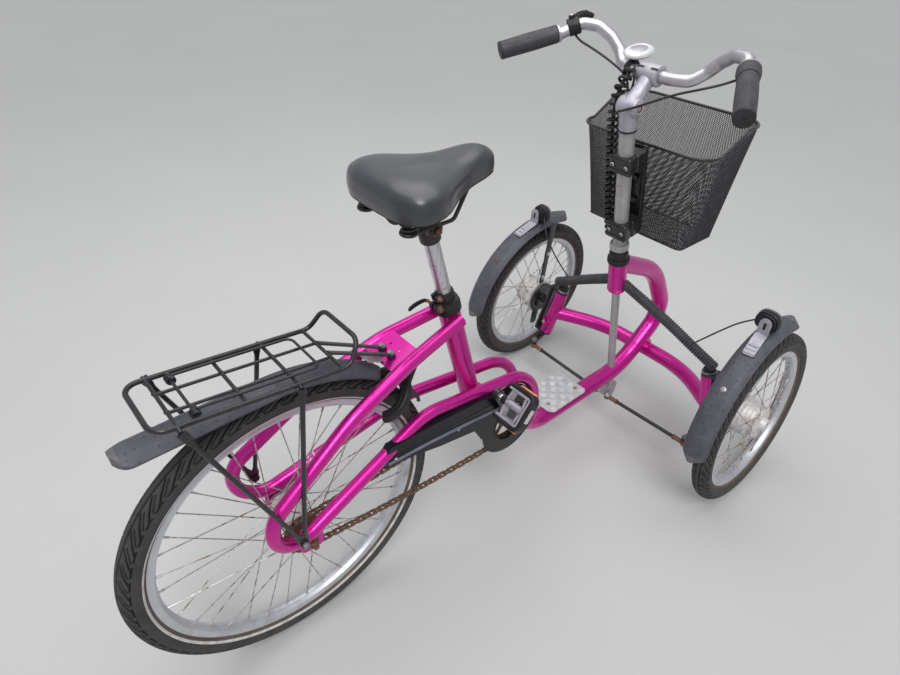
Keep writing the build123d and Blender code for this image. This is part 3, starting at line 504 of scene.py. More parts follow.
# each finish: two colours, the roughness from and to, and whatever else it has
finishSettings = {
    "magentaPaint": ((0.6, 0.006, 0.29), (0.68, 0.009, 0.34), (0.32, 0.42), {"toneScale": 7,
        "metallic": 0.78, "coat": 0.6, "coatRoughness": 0.08, "fleck": (0.012, (0.62, 0.06, 0.36), 1300),
        "dust": (0.1, dirt, 0.25), "relief": [(900, 0.03)]}),
    "palePaint": ((0.85, 0.52, 0.68), (0.75, 0.35, 0.55), (0.3, 0.45), {"coat": 0.4}),
    "silverAlloy": ((0.57, 0.56, 0.59), (0.47, 0.46, 0.49), (0.3, 0.46), {"toneScale": 40, "metallic": 0.85,
        "roughScale": 160, "fleck": (0.07, (0.35, 0.34, 0.33), 260), "relief": [(900, 0.06),
        (120, 0.04)]}),
    "castAlloy": ((0.46, 0.45, 0.5), (0.37, 0.36, 0.41), (0.38, 0.56), {"toneScale": 55, "metallic": 0.5,
        "roughScale": 120, "relief": [(420, 0.14)], "dust": (0.3, dirt, 0.9)}),
    "drumAlloy": ((0.78, 0.74, 0.73), (0.64, 0.6, 0.59), (0.42, 0.66), {"toneScale": 60, "metallic": 0.35,
        "relief": [(380, 0.2)], "dust": (0.75, dirt, 0.6)}),
    "rimAlloy": ((0.66, 0.68, 0.72), (0.58, 0.59, 0.62), (0.34, 0.46), {"toneScale": 14, "metallic": 0.8,
        "roughScale": 70, "dust": (0.35, dirt, 0.5), "relief": [(600, 0.05)]}),
    "spokeSteel": ((0.6, 0.6, 0.6), (0.44, 0.43, 0.41), (0.28, 0.5), {"toneScale": 90, "metallic": 0.9,
        "rust": (0.5, 60, (0.23, 0.12, 0.06))}),
    "postSteel": ((0.7, 0.7, 0.72), (0.48, 0.48, 0.5), (0.2, 0.46), {"toneScale": 26, "metallic": 0.95,
        "toneStretch": (9, 9, 1.0), "rust": (0.4, 90, (0.26, 0.17, 0.1)),
        "relief": [(300, 0.05, "brushed")]}),
    "columnSteel": ((0.46, 0.46, 0.45), (0.36, 0.36, 0.355), (0.4, 0.55), {"toneScale": 34, "metallic": 0.6,
        "rust": (0.36, 70, (0.25, 0.17, 0.11)), "relief": [(500, 0.08)]}),
    "blackEnamel": ((0.012, 0.012, 0.014), (0.024, 0.024, 0.028), (0.2, 0.4), {"specular": 0.32,
        "toneScale": 45, "roughScale": 120, "coat": 0.35, "coatRoughness": 0.15, "fleck": (0.05,
        (0.09, 0.085, 0.08), 180), "dust": (0.2, dirt, 0.5), "relief": [(420, 0.08)]}),
    "caseEnamel": ((0.006, 0.006, 0.009), (0.01, 0.01, 0.014), (0.14, 0.26), {"roughScale": 40,
        "specular": 0.3, "dust": (0.05, dirt, 0.4), "relief": [(260, 0.04)]}),
    "ringSteel": ((0.28, 0.29, 0.31), (0.2, 0.2, 0.22), (0.35, 0.5), {"toneScale": 60, "metallic": 0.6}),
    # pale blue-grey, a painted highlight for the case's rounded top edge
    "caseRidgeHighlight": ((0.1, 0.11, 0.15), (0.15, 0.16, 0.2), (0.3, 0.45), {}),
    "beadDirt": ((0.085, 0.058, 0.045), (0.14, 0.1, 0.08), (0.6, 0.8), {"toneScale": 40}),
    "flapPlastic": ((0.03, 0.022, 0.019), (0.045, 0.033, 0.028), (0.5, 0.7), {"toneScale": 40,
        "relief": [(400, 0.15)]}),
    "meshEnamel": ((0.014, 0.014, 0.017), (0.03, 0.03, 0.035), (0.3, 0.48), {"toneScale": 60,
        "relief": [(500, 0.1)]}),
    "blackPlastic": ((0.012, 0.012, 0.014), (0.02, 0.02, 0.022), (0.34, 0.54), {"specular": 0.32,
        "toneScale": 70, "relief": [(650, 0.16)], "dust": (0.15, dirt, 0.5)}),
    "sleevePlastic": ((0.04, 0.04, 0.047), (0.06, 0.06, 0.068), (0.42, 0.6), {"specular": 0.4,
        "toneScale": 40, "relief": [(500, 0.12)]}),
    "guardPlastic": ((0.062, 0.064, 0.08), (0.088, 0.09, 0.108), (0.42, 0.6), {"toneScale": 22,
        "specular": 0.4, "roughScale": 45, "fleck": (0.3, (0.045, 0.046, 0.058), 95),
        "relief": [(380, 0.12), (70, 0.06)], "dust": (0.2, (0.12, 0.11, 0.1), 0.5)}),
    "guardLip": ((0.085, 0.085, 0.09), (0.13, 0.13, 0.135), (0.45, 0.65), {"toneScale": 40,
        "relief": [(300, 0.15)], "dust": (0.3, dirt, 0.5)}),
    "gripRubber": ((0.03, 0.03, 0.034), (0.05, 0.05, 0.056), (0.45, 0.62), {"toneScale": 40,
        "relief": [(1100, 0.3, "cells"), (60, 0.05)]}),
    "capRubber": ((0.02, 0.02, 0.022), (0.035, 0.035, 0.038), (0.45, 0.6), {"specular": 0.32,
        "relief": [(600, 0.15)]}),
    # tyre rubber; its grooves take the near-black colour below as painted shade
    "tyreRubber": ((0.04, 0.039, 0.041), (0.06, 0.056, 0.054), (0.55, 0.8), {"toneScale": 32,
        "specular": 0.3, "paintedShadeColour": (0.006, 0.006, 0.007), "dust": (0.5, (0.1, 0.082, 0.066), 0.75),
        "relief": [(500, 0.2), (90, 0.1)]}),
    "whiteStripe": ((0.68, 0.68, 0.67), (0.5, 0.49, 0.47), (0.35, 0.55), {"toneScale": 60, "dust": (0.6,
        dirt, 0.5)}),
    "rustySteel": ((0.34, 0.3, 0.27), (0.22, 0.17, 0.14), (0.45, 0.7), {"toneScale": 150, "metallic": 0.6,
        "rust": (0.62, 160, (0.24, 0.105, 0.045)), "relief": [(700, 0.3)]}),
    "springSteel": ((0.018, 0.017, 0.017), (0.03, 0.027, 0.025), (0.3, 0.5), {"toneScale": 120,
        "rust": (0.42, 120, (0.1, 0.045, 0.02)), "relief": [(700, 0.2)]}),
    "boltSteel": ((0.6, 0.6, 0.61), (0.42, 0.41, 0.4), (0.28, 0.5), {"toneScale": 150, "metallic": 0.9,
        "rust": (0.46, 120, (0.26, 0.14, 0.07))}),
    "rustyChain": ((0.13, 0.085, 0.06), (0.2, 0.105, 0.055), (0.55, 0.85), {"toneScale": 220,
        "metallic": 0.35, "relief": [(900, 0.4)]}),
    "treadAlloy": ((0.72, 0.72, 0.73), (0.6, 0.6, 0.61), (0.34, 0.52), {"toneScale": 45, "metallic": 0.75,
        "rust": (0.33, 50, (0.3, 0.24, 0.18)), "dust": (0.3, dirt, 0.5)}),
    "saddleVinyl": ((0.018, 0.019, 0.025), (0.026, 0.028, 0.036), (0.3, 0.4), {"toneScale": 18,
        "roughScale": 40, "coat": 0.8, "coatRoughness": 0.3, "relief": [(1500, 0.22, "cells"),
        (420, 0.1)]}),
    "bellShell": ((0.74, 0.75, 0.75), (0.66, 0.67, 0.68), (0.25, 0.4), {"toneScale": 50, "metallic": 0.35,
        "coat": 0.3}),
    "lampGlass": ((0.55, 0.56, 0.57), (0.45, 0.46, 0.48), (0.08, 0.2), {"relief": [(260, 0.5, "cells")],
        "coat": 0.6}),
    "amberLens": ((0.8, 0.28, 0.03), (0.7, 0.2, 0.02), (0.12, 0.25), {"coat": 0.5,
        "relief": [(400, 0.5, "cells")]}),
}
finishes = {name: makeFinish(name, *s) for name, s in finishSettings.items()}
print("finishes made:", len(finishes))

dressedNodes = {
    "magentaPaint": ["seat_tube", "loop_left", "loop_right", "bridge_plate", "bottom_bracket", "main_tube",
                     "head_tube", "cross_tube", "kingpin_tube_left", "kingpin_tube_right"],
    "caseEnamel": ["chain_case"],
}
for finish, names in dressedNodes.items():
    for name in names:
        nodes[name].data.materials.clear()
        nodes[name].data.materials.append(finishes[finish])
print("nodes dressed")


# Wheels: a place beside each hub is (angle round the axle, radius, distance out along it)
def wheelAxes(end):
    if end == "rear":
        return rear(0, 0, 0), np.array([1.0, 0, 0]), np.array([0, 0, 1.0]), np.array([0, -1.0, 0])
    side = sideOf[end]
    out = np.array([0, side * math.cos(camberAngle), math.sin(camberAngle)])
    up = np.array([0, -side * math.sin(camberAngle), math.cos(camberAngle)])
    return front(0, side * tricycle["frontTrack"] / 2, 0), np.array([1.0, 0, 0]), up, out


def onWheel(end, angle, radius, along):
    # turns polar places on a wheel into the frame's own axes
    origin, ahead, up, out = wheelAxes(end)
    angle, radius, along = np.broadcast_arrays(angle, radius, along)
    return (origin + (radius * np.cos(angle))[..., None] * ahead + (radius * np.sin(angle))[..., None] * up
        + along[..., None] * out)


frontWheel = {"tyre": 224.5, "rim": 183.5, "steps": 840, "blocks": 56, "grooves": 2.0, "spokes": 28,
    "flange": 41, "flangeOut": 23.5, "crossing": 34}
rearWheel = {"tyre": 300.5, "rim": 259.5, "steps": 1080, "blocks": 60, "grooves": 2.4, "spokes": 36,
    "flange": 33, "flangeOut": 29.5, "crossing": 50}
wheelSettings = {
    "rear": {**rearWheel, "body": "rear_wheel", "nodes": ("rear_tyre", "rear_rim", "rear_hub")},
    "left": {**frontWheel, "body": "wheel_left", "nodes": ("tyre_left", "rim_left", "hub_left")},
    "right": {**frontWheel, "body": "wheel_right", "nodes": ("tyre_right", "rim_right", "hub_right")},
}


def dip(value, width):  # one inside a groove, easing to nothing at its edges
    return np.clip(1.6 - 1.6 * np.abs(value) / width, 0, 1)


def makeTyre(end, s):
    # a ring round the section's circle; leaf-shaped grooves lean away from the middle line on both sides
    across = np.concatenate([np.linspace(-2.68, -2.2, 3), np.linspace(-2.0, 2.0, 49),
        np.linspace(2.2, 2.68, 3)])
    around = wholeTurn(s["steps"])
    a, c = np.meshgrid(around, across, indexing="ij")
    reach = np.abs(c)
    turnSide = np.where(c > 0, 0.5, 0.0)
    wave = a * s["blocks"] / (2 * np.pi) + turnSide
    lean = (wave - 1.5 * np.clip(reach - 0.25, 0, 2)) % 1.0
    leaf = dip(lean - 0.5, 0.13) * (reach > 0.34) * (reach < 1.25)
    halfLeaf = dip((lean + 0.4) % 1.0 - 0.5, 0.08) * (reach > 0.55) * (reach < 1.1)
    ends = dip(reach - 1.26, 0.04) * (np.abs(lean - 0.5) < 0.36)
    middle = dip(reach - 0.24, 0.05)
    edge = dip(reach - 1.42, 0.03) * 0.4 + dip(reach - 1.86, 0.035) * 0.5
    cut = np.clip(np.maximum.reduce([leaf, halfLeaf, ends, middle]), 0, 1)
    depth = s["grooves"] * cut + edge
    section = tyreSection - 0.05 - depth
    radius = s["tyre"] - tyreSection + section * np.cos(c)
    points = onWheel(end, a, radius, section * np.sin(c))
    inner = onWheel(end, around[:, None], s["rim"] - 5, np.array([[9.2, -9.2]]))
    body = grid(np.concatenate([points, inner], 1), wrapRows=True, wrapColumns=True)
    # the grooves are weighted for painted shade, darker than the blocks between them
    paintedShadeWeights = np.concatenate([np.clip(cut * 1.4, 0, 1), np.zeros((len(around), 2))], 1).ravel()
    makePiece("tyre" + end.capitalize(), [body], "tyreRubber", s["body"], [s["nodes"][0]], smooth=50,
        paintedShadeWeights=paintedShadeWeights)
    # near the rim a reflecting stripe, on the rear tyre alone, and a band of brown dirt
    makeBand("dirt" + end.capitalize(), end, s, (2.3, 2.4, 2.55, 2.66), "beadDirt")
    if end == "rear":
        makeBand("stripeRear", end, s, (2.08, 2.13, 2.25, 2.3), "whiteStripe")


def makeBand(name, end, s, places, finish):
    around = wholeTurn(s["steps"] // 4)[:, None]
    stripes = []
    for sign in (1, -1):
        t = np.array(places) * sign
        lift = np.array([0.05, 0.35, 0.35, 0.05])
        outside = s["tyre"] - tyreSection + (tyreSection + lift) * np.cos(t), (tyreSection
            + lift) * np.sin(t)
        inside = s["tyre"] - tyreSection + (tyreSection - 0.8) * np.cos(t), (tyreSection - 0.8) * np.sin(t)
        r = np.concatenate([outside[0], inside[0][::-1]])
        y = np.concatenate([outside[1], inside[1][::-1]])
        stripes.append(grid(onWheel(end, around, r[None], y[None]), True, True))
    makePiece(name, stripes, finish, s["body"])


def makeRim(end, s):
    # a hollow channel: hooked edges, a flat brake track each side, a rounded well inside
    r = s["rim"]
    half = [(r, 9.6), (r, 11.2), (r - 0.6, 12.4), (r - 2, 12.5), (r - 3, 11.9), (r - 11, 11.3),
        (r - 12, 11.9), (r - 13.2, 11.5), (r - 15.2, 8.5), (r - 17.2, 5.0), (r - 18, 1.5)]
    outer = half + [(x, -y) for x, y in reversed(half)]
    profile = np.array(outer + [(r - 5.6, -9.6), (r - 7, -7), (r - 7, 7), (r - 5.6, 9.6)])
    around = wholeTurn(240)[:, None]
    body = grid(onWheel(end, around, profile[None, :, 0], profile[None, :, 1]), True, True)
    makePiece("rim" + end.capitalize(), [body], "rimAlloy", s["body"], [s["nodes"][1]])


def makeSpokes(end, s):
    # straight wires from flange to rim, alternately leading and trailing, each with a nipple and a bent head
    i = np.arange(s["spokes"])
    side = np.where(i % 2, 1.0, -1.0)
    lead = np.where((i // 2) % 2, 1, -1) * math.radians(s["crossing"])
    outer = 2 * np.pi * i / s["spokes"]
    weave = np.where((i // 2) % 2, 1.6, -1.6)
    start = onWheel(end, outer + lead, s["flange"], side * s["flangeOut"] + weave)
    finish = onWheel(end, outer, s["rim"] - 17.5, side * 2)
    way = unit(finish - start)
    wires = bars(start, finish, 1.05, 7)
    heads = bars(onWheel(end, outer + lead, s["flange"], side * s["flangeOut"] - weave * 1.5),
        onWheel(end, outer + lead, s["flange"], side * s["flangeOut"] + weave * 1.3), 1.6, 7)
    makePiece("spokes" + end.capitalize(), [wires, heads], "spokeSteel", s["body"])
    nipples = bars(finish - way * 11, finish + way * 2, 2.0, 7)
    makePiece("nipples" + end.capitalize(), [nipples], "boltSteel", s["body"])


def makeFrontHub(end):
    # a brake drum with rounded edges, cooling ribs, a thin outer flange and a bearing boss
    origin, ahead, up, out = wheelAxes(end)
    profile = [
        (6.2, -35.8), (45, -35.8), (46.6, -35.2), (50.5, -35), (51.8, -34), (51.8, -31.5), (50.5, -30.2),
        (47.6, -29.4), (46.4, -28), (46.4, -22), (47, -21), (47, -19), (46.4, -18), (46.4, -12), (47, -11),
        (47, -9), (46.4, -8), (46.2, 0), (45.4, 3.4), (43, 6.4), (39.5, 9.4), (38.2, 12), (37.6, 18),
        (38, 20.6), (41.4, 21.6), (41.9, 23), (41.4, 24.6), (37, 25), (24, 26.4), (19.5, 27.6), (17.4, 30),
        (15.8, 38.6), (14.6, 39.9), (9.4, 39.9), (8.4, 39), (8.2, 30.5), (6.2, 30.5),
    ]
    body = turned(profile, 72, origin, out, ahead, closed=True)
    holes = wholeTurn(14)
    rivets = bars(onWheel(end, holes, 41, 24.4), onWheel(end, holes, 41, 25.4), 2.2, 8)
    s = wheelSettings[end]
    makePiece("hub" + end.capitalize(), [body, rivets], "drumAlloy", s["body"], [s["nodes"][2]])
    cone = [(6.1, 24), (9, 24), (9, 28.6), (8.2, 29), (0, 29), (0, 24)]
    makePiece("axleCap" + end.capitalize(), [turned(cone, 6, origin + out * 0.2, out)], "capRubber",
        f"knuckle_{end}")


def makeRearHub():
    # a coaster hub: waisted barrel, two flanges with rims, and the sprocket with its teeth
    profile = [
        (5.1, -51.8), (14, -51.8), (15, -50.8), (15, -41), (18, -39), (24, -36), (33.4, -31.2), (35, -30.6),
        (35, -28.4), (33.4, -28), (27, -25.8), (25.4, -23), (24.6, -12), (24.2, 0), (24.6, 12), (25.4, 23),
        (27, 25.8), (33.4, 28), (35, 28.4), (35, 30.6), (33.4, 31.2), (22, 37.4), (14, 42), (12, 44.6),
        (12, 56.8), (11, 57.9), (5.1, 57.9),
    ]
    flipped = [(r, -z) for r, z in profile]
    body = turned(flipped, 64, rear(0, 0, 0), (0, -1, 0), (1, 0, 0), closed=True)
    makePiece("rearHub", [body], "drumAlloy", "rear_wheel", ["rear_hub"])
    teeth = 20
    t = wholeTurn(teeth * 8)
    shape = 36.4 + 2.6 * np.clip(0.35 + np.cos(t * teeth), -0.55, 1)
    ring = np.stack([np.cos(t) * shape, np.sin(t) * shape], -1)
    sprocket = plate(ring, 2.2, rear(0, -41.4, 0), (1, 0, 0), (0, -1, 0))
    makePiece("rearSprocket", [sprocket], "rustyChain", "rear_wheel")


for end, settings in wheelSettings.items():
    makeTyre(end, settings)
    makeRim(end, settings)
    makeSpokes(end, settings)
for end in sideOf:
    makeFrontHub(end)
makeRearHub()
print("wheels made")

# Basket of expanded steel, its wires running both ways round the walls
basketSettings = {
    "floor": (133, 258, 14, -30, 376),
    "top": (222.5, 332, 60, -50.7, 641),
    "middleY": 10,
    "rimHeights": ((-200, -98, -15, 120), (600, 600, 640, 640)),
    "wires": 216,
    "slant": 0.20,
    "wireWide": 0.85,
    "wireDeep": 0.6,
    "floorPitch": 5.2,
}


def makeBasket(s):
    # a wall place is the floor outline blended to the top outline; a wire climbs as its place drifts
    def outline(size):
        width, depth, corner, x, z = size
        flat = rectangle(width, depth, corner, 13)
        even = evenly(np.c_[flat[np.r_[0:len(flat), 0]], np.zeros(len(flat) + 1)], 1.0)
        count = np.linspace(0, len(even) - 1, 481)[:-1].astype(int)
        return front(x, s["middleY"], z) + np.c_[even[count, :2], np.zeros(480)]

    low, high = outline(s["floor"]), outline(s["top"])
    limit = np.interp(high[:, 0] - frontX, s["rimHeights"][0], s["rimHeights"][1])
    top = (limit - s["floor"][4]) / (s["top"][4] - s["floor"][4])

    def wall(u, t):
        i = (np.floor(u * 480).astype(int)) % 480
        k = (i + 1) % 480
        f = (u * 480 - np.floor(u * 480))[..., None]
        rise = (t * (top[i] * (1 - f[..., 0]) + top[k] * f[..., 0]))[..., None]
        lowHere = low[i] * (1 - f) + low[k] * f
        highHere = high[i] * (1 - f) + high[k] * f
        return lowHere * (1 - rise) + highHere * rise

    count, steps = s["wires"], 22
    start = np.arange(count)[:, None] / count
    t = np.linspace(0.0, 1, steps)[None, :]
    middle = front(s["floor"][3], s["middleY"], 0)
    wires = []
    for way in (1, -1):
        u = start + way * s["slant"] * t
        line = wall(u % 1.0, np.broadcast_to(t, u.shape))
        beside = unit(wall((u + 0.002) % 1.0, np.broadcast_to(t, u.shape)) - line)
        outwards = unit((line - middle) * (1, 1, 0))
        corners = [(-s["wireWide"], 0), (s["wireWide"], 0), (0, s["wireDeep"] * way * 1.5)]
        ring = np.stack([line + beside * a + outwards * b for a, b in corners], 2)
        index = np.arange(count * steps * 3).reshape(count, steps, 3)
        a, b = index[:, :-1], index[:, 1:]
        quads = np.stack([a, np.roll(a, -1, 2), np.roll(b, -1, 2), b], -1).reshape(-1, 4)
        ends = np.concatenate([index[:, 0], index[:, -1]])
        wires.append((ring.reshape(-1, 3), quads.tolist() + ends.tolist()))
    # the floor: straight wires at a slant both ways, cut to the floor's rectangle
    w, d, corner, x, z = s["floor"]
    for way in (1, -1):
        offset = np.arange(-(w + d) / 2 * 0.7, (w + d) / 2 * 0.7, s["floorPitch"])
        along = unit((1.0, way * 0.9))
        normal = np.array([-along[1], along[0]])
        near = np.maximum((-(w / 2 - 1) * np.sign(along[0]) - offset * normal[0]) / along[0],
            (-(d / 2 - 1) * np.sign(along[1]) - offset * normal[1]) / along[1])
        far = np.minimum(((w / 2 - 1) * np.sign(along[0]) - offset * normal[0]) / along[0],
            ((d / 2 - 1) * np.sign(along[1]) - offset * normal[1]) / along[1])
        keep = far - near > 8
        flat = [offset[keep, None] * normal + k[keep, None] * along for k in (near, far)]
        ends = [front(x, s["middleY"], z + 0.9) + np.c_[f, np.zeros(len(f))] for f in flat]
        wires.append(bars(ends[0], ends[1], 0.95, 4))
    makePiece("basketMesh", wires, "meshEnamel", "steering", ["basket"], smooth=80)
    # the folded hem round the floor
    hem = sweep(low + (0, 0, 1.4), circle(1.6, 8), up=(0, 0, 1), closed=True)
    makePiece("basketHem", [hem], "blackEnamel", "steering")


makeBasket(basketSettings)
print("basket made")


# Mudguards: a crowned strip along a path, its corners rounded, its ends turned outwards in a pale lip
guardSettings = {
    "width": 58,
    "wall": 2.2,
    "cornerRadius": 24,
    "lipLength": 15,
    "lipFlare": 4.5,
    "front": {"radius": 263.5, "first": 75, "last": 176, "inboard": 6, "crown": 11, "steps": 110,
              "boltAngle": 137},
    "rear": {"radius": 322.5, "first": 52, "last": 92, "tail": 226, "crown": 12, "steps": 90},
}


def guardStrip(path, up, crown, cornerStart, cornerEnd, flare):
    # half width near an end is w sqrt(1 - (1 - d / c)^2), d from the end and c the length of the rounding
    s = guardSettings
    along = distances(path)
    w, c = s["width"] / 2, s["cornerRadius"]
    half = np.full(len(path), w)
    for used, distance in ((cornerStart, along), (cornerEnd, along[-1] - along)):
        if used:
            d = np.clip(distance, 0, c)
            half = np.minimum(half, w * np.sqrt(0.12 + 0.88 * (1 - (1 - d / c) ** 2)))
    x = np.concatenate([np.linspace(-1, 1, 25), np.linspace(1, -1, 25)])
    drop = -crown * (0.35 * np.abs(x) ** 2 + 0.65 * np.clip((np.abs(x) - 0.45) / 0.55, 0, 1) ** 1.4)
    edge = np.clip((np.abs(x) - 0.93) / 0.07, 0, 1)
    inner = np.arange(50) >= 25
    y = drop - np.where(inner, s["wall"] + 1.4 * edge, -0.3 * edge)
    x = x * np.where(inner, 1 - 0.03 * (np.abs(x) > 0.99), 1)
    profile = np.stack([np.stack([x * h, y + f], -1) for h, f in zip(half, flare)])
    return sweep(path, profile, up)


def makeGuard(name, path, up, crown, body, replaces, lipStart, lipEnd):
    s = guardSettings
    along = distances(path)
    flare = np.zeros(len(path))
    if lipStart:
        flare += s["lipFlare"] * np.clip(1 - along / s["lipLength"], 0, 1) ** 1.5
    if lipEnd:
        flare += s["lipFlare"] * np.clip(1 - (along[-1] - along) / s["lipLength"], 0, 1) ** 1.5
    first = int(np.searchsorted(along, s["lipLength"])) if lipStart else 0
    last = int(np.searchsorted(along, along[-1] - s["lipLength"])) if lipEnd else len(path) - 1
    whole = guardStrip(path, up, crown, True, True, flare)
    points = whole[0].reshape(len(path), 50, 3)
    main = grid(points[first:last + 1], wrapColumns=True, caps=True)
    makePiece(name, [main], "guardPlastic", body, replaces, smooth=60)
    lips = []
    if lipStart:
        lips.append(grid(points[:first + 1], wrapColumns=True, caps=True))
    if lipEnd:
        lips.append(grid(points[last:], wrapColumns=True, caps=True))
    if lips:
        makePiece(name + "Lip", lips, "guardLip", body, smooth=60)


def makeGuards():
    s = guardSettings
    for end in sideOf:
        g = s["front"]
        angle = np.radians(np.linspace(g["first"], g["last"], g["steps"]))
        path = onWheel(end, angle, g["radius"], -g["inboard"])
        up = unit(path - onWheel(end, angle, 0 * angle, -g["inboard"]))
        makeGuard("fender" + end.capitalize(), path, up, g["crown"], f"knuckle_{end}", [f"fender_{end}"],
            True, True)
    g = s["rear"]
    angle = np.radians(np.linspace(g["first"], g["last"], g["steps"]))
    arc = onWheel("rear", angle, g["radius"], 0)
    radial = unit(arc - onWheel("rear", angle, 0 * angle, 0))
    back = unit(arc[-1] - arc[-2])
    tail = arc[-1] + back * np.linspace(0, g["tail"], 46)[1:, None]
    up = np.concatenate([radial, np.repeat(radial[-1:], 45, 0)])
    makeGuard("rearFender", np.concatenate([arc, tail]), up, g["crown"], "frame", ["rear_fender"], False,
        True)
    # a bright ridged strip joins the mudguard's front end to the bridge plate, a brown tab at its end
    slope = unit((0.9, 0, -0.43))
    rise = -np.cross(slope, (0, 1, 0))
    middle = rear(190, 0, 277)
    strip = [block((52, 26, 2.6), middle, slope, rise, 3)]
    strip += [block((5, 24, 5), middle + slope * k + rise * 1.6, slope, rise, 2) for k in (-20, -10, 0)]
    makePiece("rearFenderStrip", strip, "silverAlloy", "frame")
    makePiece("rearFenderTab", [block((16, 24, 3), middle + slope * 18 + rise * 2, slope, rise, 2)],
        "rustySteel", "frame")
    # bolts through the guards into their stays: a brown one on the left, bright ones elsewhere
    for end, finish in (("left", "rustySteel"), ("right", "boltSteel")):
        g = s["front"]
        angle = math.radians(g["boltAngle"])
        place = onWheel(end, angle, g["radius"] + 0.2, -g["inboard"])
        up = unit(place - onWheel(end, angle, 0.0, -g["inboard"]))
        ring = [(0, 0), (6.2, 0), (6.2, 0.9), (5.6, 1.3), (0, 1.3)]
        made = [turned(ring, 20, place, up)] + domed(place + up * 1.2, up, 4.2, 2.4, 1.9)
        makePiece("fenderBolt" + end.capitalize(), made, finish, f"knuckle_{end}")


makeGuards()

# Lamps on ridged strips standing on the front mudguards
lampSettings = {
    "foot": (-122, 342.5, 238),
    "heel": (-66, 336, 262.5),
    "stripWidth": 26,
    "stripThickness": 2.6,
    "ridges": (4, 15, 26),
    "lamp": (-46, 331, 281),
    "tabHeight": 37,
}


def makeLamp(end):
    s = lampSettings
    side = sideOf[end]
    tag = end.capitalize()
    body = f"knuckle_{end}"
    foot, heel, lamp = (front(x, side * y, z) for x, y, z in (s["foot"], s["heel"], s["lamp"]))
    along = unit(heel - foot)
    up = unit(np.cross(along, (0, side, 0)) * -side)
    length = np.linalg.norm(heel - foot)
    half = s["stripWidth"] / 2
    strips = [block((length + 4, s["stripWidth"], s["stripThickness"]), (foot + heel) / 2 + up * 1.3, along,
        up, 5)]
    for d in s["ridges"]:  # pressed ridges across the strip
        strips.append(block((6, s["stripWidth"] - 2, 10), foot + along * d + up * 2.8, along, up, 2.6))
    # the tab stands up from the heel, round at its top, with a rib along each edge and a dark slot
    t = np.linspace(0, np.pi, 17)
    tall = s["tabHeight"] - half
    arch = np.stack([half * np.cos(t), tall + half * np.sin(t)], -1)
    outline = np.concatenate([[(-half, 0), (half, 0)], arch])
    strips.append(plate(outline, 2.6, heel, (0, 1, 0), (1, 0, 0)))
    rib = [sweep(np.stack([heel + (-0.6, k, 2), heel + (-0.6, k, tall)]), circle(1.3, 8)) for k in (-10, 10)]
    opening = rectangle(6.5, 17, 3, 6) + (0, 19)
    slot = plate(opening, 3.2, heel - (0.3, 0, 0), (0, 1, 0), (1, 0, 0))
    makePiece(f"lampSlot{tag}", [slot], "capRubber", body)
    makePiece(f"lampBracket{tag}", strips + rib, "castAlloy", body, [f"lamp_bracket_{end}"])
    bolts = domed(foot + along * 52 + up * 2.6, up, 4.5, 2.6, 1.8)
    makePiece(f"lampBolt{tag}", bolts, "rustySteel" if side > 0 else "boltSteel", body)
    # the lamp: sections of a rounded D, narrower at the back and flat below, with raised rings round them
    t = wholeTurn(56)
    wide = np.sign(np.cos(t)) * np.abs(np.cos(t)) ** 0.72
    tall = np.where(np.sin(t) > 0, np.sin(t), -0.72 * np.abs(np.sin(t)) ** 0.6)
    outline = np.stack([0 * t, wide, tall], -1)

    def shell(profile):
        rings = [lamp + outline * (1, 0.92 * r, 0.88 * r) + (x, 0, 0) for r, x in profile]
        return grid(np.stack(rings), wrapColumns=True, caps=True)

    back = [(13, -14), (17, -14.6), (18.6, -13.4), (18.8, -9), (22, -9.6), (23.6, -8.4), (24, -3),
        (26.2, -3.6), (27.6, -2), (28, 10), (27.4, 14), (26, 15), (24.6, 14.4), (24.2, 11)]
    makePiece(f"lampShell{tag}", [shell(back)], "blackPlastic", body, [f"lamp_{end}"])
    makePiece(f"lampRim{tag}", [shell([(28.1, 8), (29.4, 8.6), (29.4, 13.4), (28.1, 14)])], "guardLip", body)
    lens = [(24.2, 11.4), (24.2, 13), (20, 14.6), (10, 15.8)]
    makePiece(f"lampLens{tag}", [shell(lens)], "lampGlass", body)
    boss = rod(heel + (3, 0, 18), heel + (9, 0, 18), 8, 20)
    makePiece(f"lampBoss{tag}", [boss], "blackPlastic", body)


for end in sideOf:
    makeLamp(end)
print("mudguards and lamps made")


